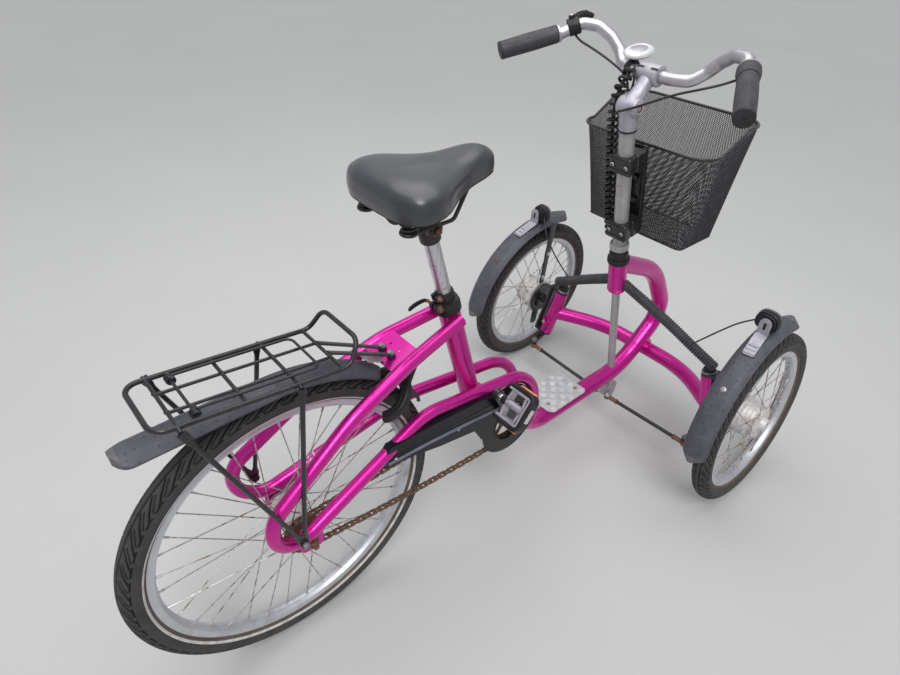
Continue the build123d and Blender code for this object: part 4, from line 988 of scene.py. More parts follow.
# Front corners: brake plate with its stay, kingpin with its cap, axle carrier, steering arm and tie rods
def makeCorner(end):
    side = sideOf[end]
    tag = end.capitalize()
    origin, ahead, up, out = wheelAxes(end)
    body = f"knuckle_{end}"
    plateProfile = [(6.2, -44.2), (30, -44.2), (33, -43), (36, -43), (38, -44.2), (44.6, -44.2), (46, -43),
        (46, -37.6), (45, -37), (6.2, -37)]
    pieces = [turned(plateProfile, 64, origin, out, ahead, closed=True)]
    lever = [(-29, 30), (-29, 84), (-26, 90), (-10, 90), (-7, 84), (-7, 30)]
    pieces.append(plate(lever, 4, origin - out * 42, ahead, out))
    # stay: flat, wide where it meets the mudguard, narrow at the plate
    t = np.linspace(0, 1, 26)[:, None]
    low = origin + ahead * -14 + up * 58 - out * 39.5
    high = origin + ahead * -4 + up * 254 - out * 33
    line = low + (high - low) * t
    wide = np.interp(t[:, 0], [0, 0.05, 0.4, 0.46, 0.54, 0.6, 0.95, 1], [8, 9, 8.5, 10.5, 10.5, 9.5, 11, 11])
    flat = np.array([(1, 1), (0.85, 1.3), (-0.85, 1.3), (-1, 1), (-1, -1), (-0.85, -1.3), (0.85, -1.3),
        (1, -1)])
    pieces.append(sweep(line, flat, out, scale=np.c_[wide, 0 * wide + 1.5]))
    makePiece(f"brakePlate{tag}", pieces, "blackEnamel", body, [f"brake_plate_{end}"])
    bolts = []
    for k in (0.5, 0.08):
        bolts += bolt(low + (high - low) * k - out * 1.8, -out, 9, 3.5, 13)
    bolts += bolt(origin + ahead * -18 + up * 82 - out * 42, -out, 9, 4, 0)
    makePiece(f"stayBolts{tag}", bolts, "boltSteel", body)

    # the carrier: a fork above and below the kingpin tube, joined by a post beside it
    pinUp = kingpinUp(side)
    pinOut = np.array([0, side * math.cos(math.radians(tricycle["kingpinLean"])),
        math.sin(math.radians(tricycle["kingpinLean"]))])
    carrier = [rod(onKingpin(side, 166), onKingpin(side, -6), 8, 20)]
    t = np.linspace(0, np.pi, 13)
    outline = np.concatenate([np.stack([-np.sin(t) * 18, np.cos(t) * 18], -1), [(32, -18), (32, 18)]])
    for down in (-0.5, 166.5):
        carrier.append(plate(outline, 7.9, onKingpin(side, down), pinOut, pinUp))
    post = onKingpin(side, 166.5) + pinOut * 29
    carrier.append(block((8, 40, 175), post + pinUp * 87.5, pinOut, pinUp, 3))
    carrier.append(turned([(0, -82), (12, -82), (13, -80.5), (13, -44), (0, -44)], 32, origin, out))
    carrier.append(turned([(0, -60), (6, -60), (6, 23), (0, 23)], 24, origin, out))
    # the arm swings from the lower fork to the eye over the tie rod
    start = onKingpin(side, 162.5)
    foot = np.array([start[0], start[1], frontZ - 103])
    eye = armEye(side, -103)
    t = np.linspace(0, 1, 16)
    line = foot + (eye - foot) * t[:, None] + (0, 0, 3.7)
    wide = np.interp(t, [0, 0.3, 0.8, 1], [10, 8.5, 8, 9])
    flat = np.array([(1, 0.8), (0.8, 1), (-0.8, 1), (-1, 0.8), (-1, -0.8), (-0.8, -1), (0.8, -1), (1, -0.8)])
    carrier.append(sweep(line, flat, (0, 0, 1), scale=np.c_[wide, 0 * wide + 3.6]))
    carrier.append(turned([(0, 0), (9.6, 0), (10, 0.6), (10, 6.8), (9.4, 7.4), (0, 7.4)], 28, eye))
    makePiece(f"carrier{tag}", carrier, "blackEnamel", body, [f"knuckle_{end}"])

    # cap: a black ball in a bright ring on top of the pin
    top = onKingpin(side, -7.6)
    t = np.linspace(0, 1.45, 12)
    ball = [(0, 0), (15.2, 0)] + [(15.0 * math.cos(a), 7 + 13 * math.sin(a)) for a in t] + [(0, 20.1)]
    makePiece(f"kingpinCap{tag}", [turned(ball, 36, top, pinUp)], "capRubber", body)
    ring = [(14.4, -0.5), (18, -0.5), (18.4, 0.4), (18.2, 3.2), (17, 4.2), (15.2, 4.2), (14.4, 3)]
    nut = bolt(onKingpin(side, 166.6), -pinUp, 17, 7, 24)
    made = [turned(ring, 40, top, pinUp, closed=True)] + nut + bolt(eye + (0, 0, 7.4), (0, 0, 1), 13, 6, 18)
    made += domed(origin - out * 82, -out, 9, 2.5)
    makePiece(f"kingpinRing{tag}", made, "ringSteel", body)


def makeTieRod(end):
    side = sideOf[end]
    tag = end.capitalize()
    outer = armEye(side, -116.5)
    inner = pitmanFoot(side)
    way = unit(outer - inner)
    shaft = [rod(inner + way * 26, outer - way * 26, 5, 20)]
    ends = []
    for eye, axis, along in ((inner, columnUp, way), (outer, np.array([0, 0, 1.0]), -way)):
        ends.append(turned([(4.2, -5.4), (8.2, -5.4), (9, -4), (9, 4), (8.2, 5.4), (4.2, 5.4)], 28, eye,
            axis, closed=True))
        ends.append(rod(eye + along * 8, eye + along * 30, 6.2, 6))
        ends.append(rod(eye + along * 29, eye + along * 33, 7.4, 6))
    makePiece(f"tieRod{tag}", shaft, "blackEnamel", f"tie_rod_{end}", [f"tie_rod_{end}"])
    makePiece(f"tieRodEnds{tag}", ends, "rustySteel", f"tie_rod_{end}")
    boot = [(0, 6.6), (6, 6.6), (7, 7.4), (6, 8.4), (0, 8.4)]
    makePiece(f"tieRodBoot{tag}", [turned(boot, 24, outer)], "capRubber", f"knuckle_{end}")


def pitmanFoot(side):
    # the tie rod's inner eye hangs under the lever at the column's foot
    return leverEye(side) - columnUp * 6


for end in sideOf:
    makeCorner(end)
    makeTieRod(end)

# Corrugated sleeves for the brake cables, from the head tube out to the kingpins
sleeveSettings = {
    "route": [(-118, 14, 252), (-88, 82, 208), (-60, 150, 163), (-42, 201, 128), (-24, 252, 96)],
    "radius": 13.2,
    "pitch": 6.6,
    "groove": 2.2,
}


def makeSleeve(end, s):
    # radius = r - g (1 + sin(2 pi d / p)) / 2 at a distance d along the sleeve
    side = sideOf[end]
    path = cordLine([front(x, side * y, z) for x, y, z in s["route"]], 288)
    along = distances(path)
    wave = (1 + np.sin(2 * np.pi * along / s["pitch"])) / 2
    radius = s["radius"] - s["groove"] * np.clip(wave * 1.5 - 0.25, 0, 1)
    tube = sweep(path, circle(1.0, 18), scale=radius)
    sleeve = makePiece("sleeve" + end.capitalize(), [tube], "sleevePlastic", "frame", [f"conduit_{end}"],
        smooth=80)


for end in sideOf:
    makeSleeve(end, sleeveSettings)
print("front corners made")


# Saddle: rings from the lower edge up to the middle line, each the outline drawn in, under a dished top
saddleSettings = {
    "outline": [(430, 0), (422, 20), (395, 33), (350, 46), (304, 70), (268, 93), (240, 100), (214, 92),
                (198, 64), (194, 30)],
    "middle": 300,
    "slope": 0.05,
    # each ring: height, share of the length, share of the width
    "rings": [(575, 0.90, 0.86), (570, 0.955, 0.94), (562.5, 0.975, 0.965), (561, 0.985, 0.978),
              (561.5, 0.995, 0.99), (564, 1.0, 1.0), (572, 1.006, 1.012), (580, 1.0, 1.005),
              (586, 0.992, 0.985), (591, 0.978, 0.95), (595.5, 0.952, 0.89), (599, 0.92, 0.81),
              (601.5, 0.88, 0.71), (603.2, 0.83, 0.58), (604.2, 0.79, 0.44), (604.6, 0.76, 0.30),
              (604.8, 0.745, 0.15), (604.8, 0.74, 0.0)],
    "around": 420,
    "between": 5,
    "creases": [((206, 72), (236, 96)), ((200, 60), (226, 84))],
    "fill": 0.9,
}


def smoothLoop(points, count):
    p = np.asarray(points, float)
    place = np.linspace(0, len(p), count, endpoint=False)
    i = place.astype(int)
    return cubic(*(p[(i + k) % len(p)] for k in (-1, 0, 1, 2)), (place - i)[:, None])


def makeSaddle(s):
    half = s["outline"]
    outline = smoothLoop(half + [(x, -y) for x, y in reversed(half[1:])], s["around"])
    levels = smoothPath(s["rings"], (len(s["rings"]) - 1) * s["between"] + 1)
    z, long, wide = (levels[:, k, None] for k in range(3))
    x = s["middle"] + (outline[None, :, 0] - s["middle"]) * long
    y = outline[None, :, 1] * wide
    top = np.clip((z - 585) / 18, 0, 1)
    # the top dips ahead of the middle, rises to the tail and falls away over the nose
    dish = -5.5 * np.exp(-(((x - 330) / 48) ** 2)) + 3.0 * np.exp(-(((x - 235) / 40) ** 2))
    dish += -5.0 * np.clip((x - 392) / 38, 0, 1) ** 2 - 6.0 * np.clip((222 - x) / 28, 0, 1) ** 2
    channel = -1.6 * np.exp(-((y / 16) ** 2)) * np.exp(-(((x - 290) / 70) ** 2))
    height = z + (dish + channel) * top
    # the back's lower edge hangs a little deeper than the sides'
    height = height - 5 * np.clip((262 - x) / 60, 0, 1) * np.clip((590 - z) / 30, 0, 1)
    waist = 1 - 0.035 * np.exp(-(((z - 574) / 9) ** 2)) * np.exp(-(((x - 330) / 60) ** 2))
    y = y * waist
    for (xa, ya), (xb, yb) in s["creases"]:  # two soft creases at the left corner of the tail
        runX, runY = xb - xa, yb - ya
        along = np.clip(((x - xa) * runX + (y - ya) * runY) / (runX**2 + runY**2), 0, 1)
        apart = np.hypot(x - xa - along * runX, y - ya - along * runY)
        swell = np.sin(np.pi * np.clip(along, 0.03, 0.97))
        height = height - 1.3 * np.exp(-((apart / 1.8) ** 2)) * top * swell
    rise = s["slope"] * (x - s["middle"])
    points = np.stack([rearX + x - s["slope"] * (height - 580), y, rearZ + height + rise], -1)
    piece = makePiece("saddleCover", [grid(points, wrapColumns=True)], "saddleVinyl", "frame", ["saddle"],
        smooth=60)
    # the moulded base under the cover
    shell = grid(np.concatenate([points[:1] * (1, 0, 1), points[:1] - (0, 0, 1)]), wrapColumns=True)
    makePiece("saddleBase", [shell], "blackPlastic", "frame")
    # the piping round the lower edge
    edge = points[3 * s["between"]]
    makePiece("saddlePiping", [sweep(edge[::3] + (0, 0, 0.4), circle(1.7, 8), up=(0, 0, 1), closed=True)],
        "capRubber", "frame")


makeSaddle(saddleSettings)


# Springs under the saddle, the rails that carry it, and the clamp on the post
seatFoot = rear(421.9, 0, 83.8)
collarHeight = 248
postLength = 176


def makeSaddleSprings():
    postTop = seatFoot + seatUp * (collarHeight + postLength)
    clamp = postTop + seatUp * 6
    turns = 5
    wires, coils = [], []
    for side in (1, -1):
        route = [rear(222, side * 55, 557), clamp + (-50, side * 24, 6), clamp + (40, side * 20, 6),
            rear(398, side * 8, 578)]
        wires.append(sweep(roundPath(route, [14, 14], 3.0), circle(3.5, 12)))
        t = np.linspace(0, 2 * np.pi * turns, turns * 22)
        r = 12 - 1.6 * np.cos(t / turns)
        helix = rear(222, side * 55, 529) + np.stack([r * np.cos(t), r * np.sin(t), t / t[-1] * 46], -1)
        coils.append(sweep(helix, circle(2.3, 8), up=(0, 0, 1)))
        for z in (525, 575):
            cup = [(0, 0), (13.5, 0), (14.5, 1), (14.5, 4), (13, 5.5), (0, 5.5)]
            coils.append(turned(cup, 28, rear(222, side * 55, z)))
        coils.append(turned([(0, 0), (5, 0), (5, 50), (0, 50)], 16, rear(222, side * 55, 528)))
    # the cradle joins the two rails across, with the bolt through it
    wires.append(rod(clamp - (0, 30, 0), clamp + (0, 30, 0), 8, 20))
    for side in (1, -1):
        cup = [(0, 0), (14, 0), (15, 1.4), (15, 9), (13.5, 11), (8, 11.5), (0, 11.5)]
        wires.append(turned(cup, 28, clamp + (0, side * 13, 0), (0, side, 0)))
    holder = [(0, 0), (17.4, 0), (18.4, 1.4), (18.4, 30), (16.5, 33), (0, 33)]
    wires.append(turned(holder, 36, postTop - seatUp * 24, seatUp))
    makePiece("saddleRails", wires, "springSteel", "frame", ["saddle_springs"])
    makePiece("saddleSprings", coils, "springSteel", "frame")
    nuts = []
    for side in (1, -1):
        nuts += bolt(clamp + (0, side * 25, 0), (0, side, 0), 14, 7, 20)
    makePiece("saddleClampNuts", nuts, "rustySteel", "frame")


def makeSeatPost():
    top = seatFoot + seatUp * collarHeight
    # the post narrows to its saddle end; the collar is a cup, a split ring and a lever
    taper = [(0, -118), (13.6, -118), (13.6, 140), (13.2, 146), (12, 158), (11.2, 162), (11.2, 176),
        (0, 176)]
    makePiece("seatPost", [turned(taper, 48, top, seatUp)], "postSteel", "frame", ["seat_post"])
    cup = [(13.9, -8), (24, -8), (25, -7), (25, 8), (24, 11), (23, 12), (23, 15), (22, 17.5), (17.6, 18.4),
        (17.2, 24), (17.8, 26), (17.8, 34), (16.6, 37), (13.9, 37)]
    behind = (-seatUp[2], 0, seatUp[0])
    ears = [block((18, 7, 16), top + seatUp * 8 + (-24, side * 6.5, 0), behind, seatUp, 2)
        for side in (1, -1)]
    ears += [block((14, 6, 12), top + seatUp * 29 + (-18, side * 5.5, 0), behind, seatUp, 2)
        for side in (1, -1)]
    makePiece("seatCollar", [turned(cup, 48, top, seatUp, closed=True)] + ears, "blackPlastic", "frame",
        ["seat_collar"])
    pin = [rod(top + seatUp * 8 + (-25, -14, 0), top + seatUp * 8 + (-25, 26, 0), 3, 12)]
    pin += bolt(top + seatUp * 8 + (-25, -10, 0), (0, -1, 0), 11, 6, 14)
    pin += bolt(top + seatUp * 29 + (-19, -8.5, 0), (0, -1, 0), 9, 5, 12)
    makePiece("collarBolts", pin, "rustySteel", "frame")
    start = top + seatUp * 8 + (-25, 25, 0)
    lever = smoothPath([start, start + (-6, 5, -1), start + (-24, 6, -4), start + (-40, 3, -7)], 24)
    wide = np.interp(np.linspace(0, 1, 24), [0, 0.2, 0.7, 0.95, 1], [3.5, 4.0, 5.0, 4.5, 2.5])
    makePiece("collarLever", [sweep(lever, circle(1.0, 12), (0, 0, 1), scale=np.c_[wide * 0.55, wide])],
        "blackPlastic", "frame")


makeSaddleSprings()
makeSeatPost()
print("saddle and post made")


# Steering column: shaft, socket, upper tube and the arm at its foot
def makeColumn():
    shaft = [(0, -114), (9.75, -114), (9.75, 350), (0, 350)]
    base = onColumn(0)
    stretch = 1 / columnUp[2]
    lower = turned([(r, z * stretch) for r, z in shaft], 40, base, columnUp)
    upper = [(0, 351), (20.4, 351), (21.8, 352.5), (22, 355), (22, 364), (21, 366.5), (15.9, 367.5),
        (15.9, 636), (0, 636)]
    tube = turned([(r, z * stretch) for r, z in upper], 48, base, columnUp)
    foot = onColumn(tricycle["leverFoot"])
    outline = [(16, 12), (16, -12), (-26, -30), (-39, -30), (-42, -27), (-42, 27), (-39, 30), (-26, 30)]
    arm = plate(outline, 6, foot, columnAhead, columnUp)
    pins = []
    for side in (1, -1):
        at = leverEye(side)
        pins += [rod(at - columnUp * 13, at, 4, 16)] + bolt(at + columnUp * 6, columnUp, 13, 5, 18)
    pins += bolt(foot - columnUp * 0.2, -columnUp, 17, 6, 22)
    makePiece("column", [lower, tube, arm], "columnSteel", "steering", ["column"])
    makePiece("columnPins", pins, "boltSteel", "steering")
    # cap over the head tube: a smooth cup over a notched band
    low, high = (onColumn(z) for z in (314, 350))
    height = np.linalg.norm(high - low)
    cup = [(10.2, 14), (22.6, 14), (22.8, 15), (22.4, 24), (21, 30), (18.5, 34), (15.5, height),
        (10.2, height)]
    band = [(22.05, 0), (24.2, 0), (25, 1), (25, 12), (24.4, 14.2), (22.05, 14.2)]
    made = [turned(cup, 48, low, columnUp, closed=True), turned(band, 48, low, columnUp, closed=True)]
    across = np.cross(columnUp, columnAhead)
    for a in wholeTurn(16):
        way = math.cos(a) * columnAhead + math.sin(a) * across
        made.append(block((1.6, 5.2, 11), low + way * 25 + columnUp * 7, way, columnUp, 0.8))
    made.append(turned([(10.2, 0), (22, 0), (22, 14), (10.2, 14)], 48, low, columnUp, closed=True))
    makePiece("headCap", made, "blackPlastic", "frame", ["head_collar"])


# Stem: a forged body over the column, its arm up to the clamp round the bar
def makeStem():
    start, joint, clamp = onColumn(636), onColumn(680), front(-170.5, 0, 735)
    up = unit(clamp - joint)
    route = smoothPath([start, start + columnUp * 14, start + columnUp * 30, joint + up * 4, joint + up * 26,
        clamp - up * 24, clamp - up * 6], 60)
    t = np.linspace(0, 1, 60)
    wide = np.interp(t, [0, 0.02, 0.2, 0.42, 0.5, 0.62, 0.8, 1], [16.8, 18, 18, 19.5, 20, 17, 15.5, 17])
    deep = np.interp(t, [0, 0.02, 0.2, 0.42, 0.5, 0.62, 0.8, 1], [16.8, 18, 18, 18.5, 20, 16, 14.5, 16])
    body = [sweep(route, circle(1.0, 40), up=(0, 1, 0), scale=np.c_[deep, wide])]
    boss = [(0, -23), (13, -23), (17, -21.5), (19, -18), (19.4, 0), (19, 18), (17, 21.5), (13, 23), (0, 23)]
    body.append(turned(boss, 40, joint + up * 2, (0, 1, 0)))
    grip = [(12.3, -23), (18.4, -23), (19.8, -22), (20.6, -20), (21, 0), (20.6, 20), (19.8, 22), (18.4, 23),
        (12.3, 23)]
    body.append(turned(grip, 48, clamp, (0, 1, 0), closed=True))
    makePiece("stem", body, "castAlloy", "steering", ["stem"], smooth=50)
    ring = [turned([(15.9, -2), (18.6, -2), (19, 0), (18.6, 1.6), (15.9, 1.6)], 40, start, columnUp,
        closed=True)]
    ahead = unit(np.cross((0, 1, 0), up))
    for side in (1, -1):  # dark strips painted in as the shade inside the gaps where the clamp closes
        ring.append(block((1.2, 46.4, 5), clamp + ahead * side * 20.2, ahead,
            unit(np.cross(ahead, (0, 1, 0))), 0.4))
    makePiece("stemGaps", ring, "capRubber", "steering")
    rusty, bright = [], []
    for side in (1, -1):
        at = joint + up * 2 + (0, side * 22.6, 0)
        bright.append(turned([(8, 0), (12, 0), (12, 1.6), (10.5, 2.4), (8, 1.2)], 32, at, (0, side, 0),
            closed=True))
        rusty += [turned([(0, 0), (8, 0), (8, 0.6), (4.2, 0.8), (4.2, -0.4), (0, -0.4)], 24, at,
            (0, side, 0))]
    at = joint - up * 14 - columnAhead * 6 + columnUp * 8
    cap = domed(at, -columnAhead * 0.9 + columnUp * 0.5, 5, 2.0)
    makePiece("stemRings", bright + cap, "silverAlloy", "steering")
    makePiece("stemBolts", rusty, "rustySteel", "steering")


# Handlebar, one half mirrored, with grips, rings and controls
barSettings = {
    "half": [(-170.5, 0, 735), (-168.7, 43, 734), (-155.6, 78, 736), (-140.6, 100, 755), (-143.4, 123, 777),
             (-154.8, 151, 795), (-171.4, 183, 797), (-204.6, 206, 777), (-309.5, 268, 745)],
    "bends": [30, 30, 25, 30, 30, 25, 30],
    "radius": 12,
    "gripStart": (-213, 211.6, 775.6),
    "gripEnd": (-314, 270.6, 743.6),
    "gripRadius": 17.6,
    "lines": (0.42, 0.78, 1.14, 1.5, 1.86),
    "lineDepth": 0.7,
}


def makeBar(s):
    left = [front(*p) for p in s["half"]]
    right = [front(x, -y, z) for x, y, z in s["half"]]
    route = roundPath(right[:0:-1] + left, s["bends"][::-1] + [60] + s["bends"], 3.0)
    bar = sweep(route, circle(s["radius"], 32), up=(0, 0, 1))
    makePiece("handlebar", [bar], "silverAlloy", "steering", ["handlebar"])


def makeGrip(end, s):
    # contour lines: grooves where hypot(d / 26, arc / 11) passes the values in lines, top and bottom
    side = sideOf[end]
    start, finish = (front(x, side * y, z) for x, y, z in (s["gripStart"], s["gripEnd"]))
    way = unit(finish - start)
    length = np.linalg.norm(finish - start)
    d = np.concatenate([[0, 0.8, 2], np.linspace(3, length - 3, 150), [length - 2, length - 0.8, length]])
    d = d[:, None]
    a = wholeTurn(120)[None, :]
    radius = s["gripRadius"] + 0.6 * np.cos(np.pi * (d / length - 0.5)) ** 2 + 0 * a
    radius = radius - 1.6 * np.clip(1 - d / 2, 0, 1) - 1.2 * np.clip(1 - (length - d) / 2, 0, 1)
    fold = (a + np.pi / 2) % np.pi - np.pi / 2
    for centre in (length * 0.36, length * 0.72):
        spread = np.hypot((d - centre) / 24, fold * s["gripRadius"] / 10)
        others = np.hypot((d - (length * 1.08 - centre)) / 24, fold * s["gripRadius"] / 10)
        for line in s["lines"]:
            radius = radius - s["lineDepth"] * dip(spread - line, 0.07) * (spread <= others)
    level = unit(np.cross(way, (0, 0, 1)))
    upwards = np.cross(level, way)
    points = start + d[..., None] * way + radius[..., None] * (np.cos(a)[..., None] * upwards
        + np.sin(a)[..., None] * level)
    makePiece("grip" + end.capitalize(), [grid(points, wrapColumns=True, caps=True)], "gripRubber",
        "steering", [f"grip_{end}"], smooth=50)
    cap = [(0, 0), (17.2, 0), (17.8, 1), (17.8, 4.2), (16.6, 5.6), (4, 5.9), (3, 5.6), (2.6, 2), (0, 2)]
    makePiece("gripCap" + end.capitalize(), [turned(cap, 40, finish - way * 3.6, way)], "capRubber",
        "steering")
    return start, way


def makeControls(s):
    start, way = makeGrip("left", s)
    back = -way
    ring = [(12.2, -1), (17, -1), (18, 0), (18, 3), (17, 4), (12.2, 4)]
    makePiece("gripRing", [turned(ring, 40, start + back * 4, way, closed=True)], "silverAlloy", "steering")
    # left: a ring clamp with two bolts, and the brake lever's body with its blade along the bar
    low, high = front(-190, 200, 787), front(-176, 187, 794)
    along = unit(high - low)
    band = [(12.3, -3), (16, -3), (17, -2), (17.4, 10), (17, 20), (16, 21.5), (12.3, 21.5)]
    made = [turned(band, 36, low, along, closed=True)]
    level = unit(np.cross(along, (0, 0, 1)))
    rise = np.cross(level, along)
    for push in (rise, -level):
        made.append(block((13, 11, 9), low + along * 9 + push * 18, along, push, 2))
    pod = smoothPath([low + along * 14 - level * 2 + rise * 8, low + along * 24 + rise * 12 - level * 12, low
        + along * 38 + rise * 10 - level * 24, low + along * 54 + rise * 2 - level * 30], 30)
    size = np.interp(np.linspace(0, 1, 30), [0, 0.15, 0.5, 0.85, 1], [8, 9, 7.5, 6.5, 4])
    made.append(sweep(pod, circle(1.0, 16), scale=size))
    for k in (5, 9, 14, 19):  # knuckled grip ridges on the lever
        made.append(sweep(pod[k:k + 3], circle(1.0, 16), scale=size[k:k + 3] + 1.4))
    makePiece("leftControl", made, "blackPlastic", "steering", ["bar_controls"])
    heads = []
    for push in (rise, -level):
        heads += domed(low + along * 9 + push * 22.4, push, 4.6, 2.6, 2.0)
    makePiece("controlBolts", heads, "silverAlloy", "steering")
    # right: a broad flange tapering into the grip, silver behind it
    start, way = makeGrip("right", s)
    flange = [(12.3, -26), (19, -26), (20.4, -24.6), (20.6, -14), (19.8, -9), (18.6, 2), (12.3, 2)]
    makePiece("rightControl", [turned(flange, 48, start, way, closed=True)], "gripRubber", "steering")
    lip = [(12.3, -31), (18.6, -31), (20.2, -29.6), (20.4, -26), (12.3, -26)]
    makePiece("rightControlRing", [turned(lip, 48, start, way, closed=True)], "silverAlloy", "steering")
    lever = start - way * 20
    down = np.cross(unit(np.cross(way, (0, 0, 1))), way)
    bladeRoute = smoothPath([lever - down * 14, lever - down * 26 - way * 8, lever - down * 26 - way * 28,
        lever - down * 18 - way * 44], 26)
    makePiece("rightLever", [sweep(bladeRoute, circle(1.0, 14), scale=np.linspace(6, 3.4, 26))],
        "blackPlastic", "steering")


# Bell: an oval pale lid with a grey inset on a black clamp
bellSettings = {"at": (-163, 50, 735), "top": (-156, 46, 761), "normal": (-0.25, -0.2, 1), "long": 33,
    "wide": 23, "height": 13}


def makeBell(s):
    low, top = front(*s["at"]), front(*s["top"])
    normal = unit(s["normal"])
    ahead = unit((0.947, -0.32, 0.173))
    across = unit(np.cross(normal, ahead))
    # the lid's rings: radius share and height; a step down to the inset
    rings = [(0.0, 0.0), (0.72, 0.0), (0.9, 0.06), (1.0, 0.3), (1.0, 0.42), (0.96, 0.62), (0.88, 0.8),
        (0.76, 0.93), (0.64, 0.98), (0.6, 0.99), (0.57, 0.94), (0.5, 0.95), (0.0, 1.0)]
    a = wholeTurn(48)
    points = np.array([[top + ahead * s["long"] * r * math.cos(t) + across * s["wide"] * r * math.sin(t)
        + normal * s["height"] * h for t in a] for r, h in rings])
    makePiece("bellLid", [grid(points[:11], wrapColumns=True)], "bellShell", "steering", ["bell"], smooth=60)
    inset = np.array([[top + ahead * (s["long"] * r * 0.585 * math.cos(t) - 5) + across * s["wide"] * r * 0.5
        * math.sin(t) + normal * (s["height"] * h) for t in a] for r, h in ((1.0, 0.9), (1.0, 0.985),
        (0.9, 1.02), (0.0, 1.04))])
    makePiece("bellInset", [grid(points[10:], wrapColumns=True), grid(inset, wrapColumns=True)],
        "silverAlloy", "steering", smooth=60)
    clamp = [(12.2, -8), (15, -8), (16, -7), (16, 7), (15, 8), (12.2, 8)]
    made = [turned(clamp, 36, low, (0.12, 1, 0), closed=True), rod(low + (0, 0, 12), top + normal, 8, 20)]
    made.append(block((16, 12, 12), low + (-15, 0, -6), (1, 0, 0), (0, 0, 1), 3))
    dish = [(0, -2), (16, -2), (19, 0), (19, 1), (0, 1)]
    made.append(turned(dish, 32, top, normal))
    makePiece("bellClamp", made, "blackPlastic", "steering")


makeColumn()
makeStem()
makeBar(barSettings)
makeControls(barSettings)
makeBell(bellSettings)
print("handlebar made")


# Carrier: two clamps on the column, a slotted plate between them, and the wire round the basket's top
carrierSettings = {
    "clamps": ((386, 426), (546, 583)),
    "size": (56, 52),
    "ahead": 8,
    "rim": [(-150, 161, 598), (-95, 161, 598), (-15, 164, 640), (61, 164, 640)],
    "middleY": 10,
    "bends": [48, 5, 30, 54, 54, 30, 5, 48],
    "wire": 3.1,
}


def makeCarrier(s):
    made, heads = [], []
    for low, high in s["clamps"]:
        start, end = onColumn(low), onColumn(high)
        height = np.linalg.norm(end - start)
        middle = (start + end) / 2
        # front and back halves with a gap between, both cut away round the tube
        for depth, at in ((30, 21.5), (24, -8)):
            made.append(block((depth, s["size"][1], height), middle + columnAhead * at, columnAhead,
                columnUp, 4))
        for z in (-height * 0.32, height * 0.32):
            made.append(block((4, s["size"][1] + 1.2, 6), middle - columnAhead * 20 + columnUp * z,
                columnAhead, columnUp, 1.5))
        for y in (-17, 17):
            at = middle - columnAhead * 20.2 + (0, y, 0)
            heads += domed(at, -columnAhead, 5, 3.2, 2.4)
            made.append(turned([(0, 0), (6.8, 0), (6.8, 1), (0, 1)], 20, at, -columnAhead))
    bottom, top = onColumn(386), onColumn(583)
    centre = (bottom + top) / 2 + columnAhead * 43
    length = np.linalg.norm(top - bottom)
    for y in (-16, 16):
        made.append(block((12, 10, length), centre + (0, y, 0), columnAhead, columnUp, 2))
    made.append(block((4, 40, length), centre + columnAhead * 4, columnAhead, columnUp, 1))
    for k in (-0.42, -0.14, 0.14, 0.42):
        made.append(block((11, 30, 10), centre + columnUp * k * length, columnAhead, columnUp, 2))
    corners = [front(x, s["middleY"] + y, z) for x, y, z in s["rim"]]
    corners += [front(x, s["middleY"] - y, z) for x, y, z in reversed(s["rim"])]
    made.append(sweep(closedPath(corners, s["bends"], 4.0), circle(s["wire"], 14), up=(0, 0, 1),
        closed=True))
    makePiece("basketCarrier", made, "blackEnamel", "steering", ["basket_carrier"])
    makePiece("carrierBolts", heads, "boltSteel", "steering")


makeCarrier(carrierSettings)

# Cables: a spiral wrap down the column round two straight cables, and the loops that join it
cableSettings = {
    "coil": [(-186, 34, 740), (-210, 37, 716), (-214, 39, 664), (-200, 40, 601), (-178, 40, 510),
             (-158, 40, 430), (-138, 38, 372)],
    "turnRadius": 11,
    "pitch": 15.5,
    "strand": 2.5,
}


def makeCoil(s):
    # the strand turns once each pitch round the route
    route = cordLine([front(*p) for p in s["coil"]], 480)
    ahead = unit(np.gradient(route, axis=0))
    sideways = unit(np.cross(ahead, (0, 1, 0)))
    across = np.cross(ahead, sideways)
    along = distances(route)
    turn = 2 * np.pi * along / s["pitch"]
    helix = route + s["turnRadius"] * (np.cos(turn)[:, None] * sideways + np.sin(turn)[:, None] * across)
    flat = circle(1.0, 8) * (s["strand"] * 1.25, s["strand"] * 0.8)
    wrap = sweep(helix, flat, up=unit(helix - route))
    return makePiece("cableWrap", [wrap], "blackPlastic", "steering", ["cable_coil"])


cableWrap = makeCoil(cableSettings)
print("carrier and wrap made")


# Drive: crank with its chainring, the pedals, the chain's links and its case
driveSettings = {
    "bracket": (500, 0, -10.5),
    "angle": 119,
    "arm": 150,
    "armIn": 72,
    "armOut": 86,
    "chainLine": 42.5,
    "pitch": 12.7,
    "ringTeeth": 33,
    "ringRadius": 66.8,
    "caseRadius": 82.3,
    "caseDepth": (34, 58),
    "windowRadius": 48.5,
    "pedalOut": 130,
    "pedalEnd": 165,
    "pedalTilt": 53.6,
}
bracketAt = rear(*driveSettings["bracket"])
crankRun = raised(math.radians(driveSettings["angle"]))


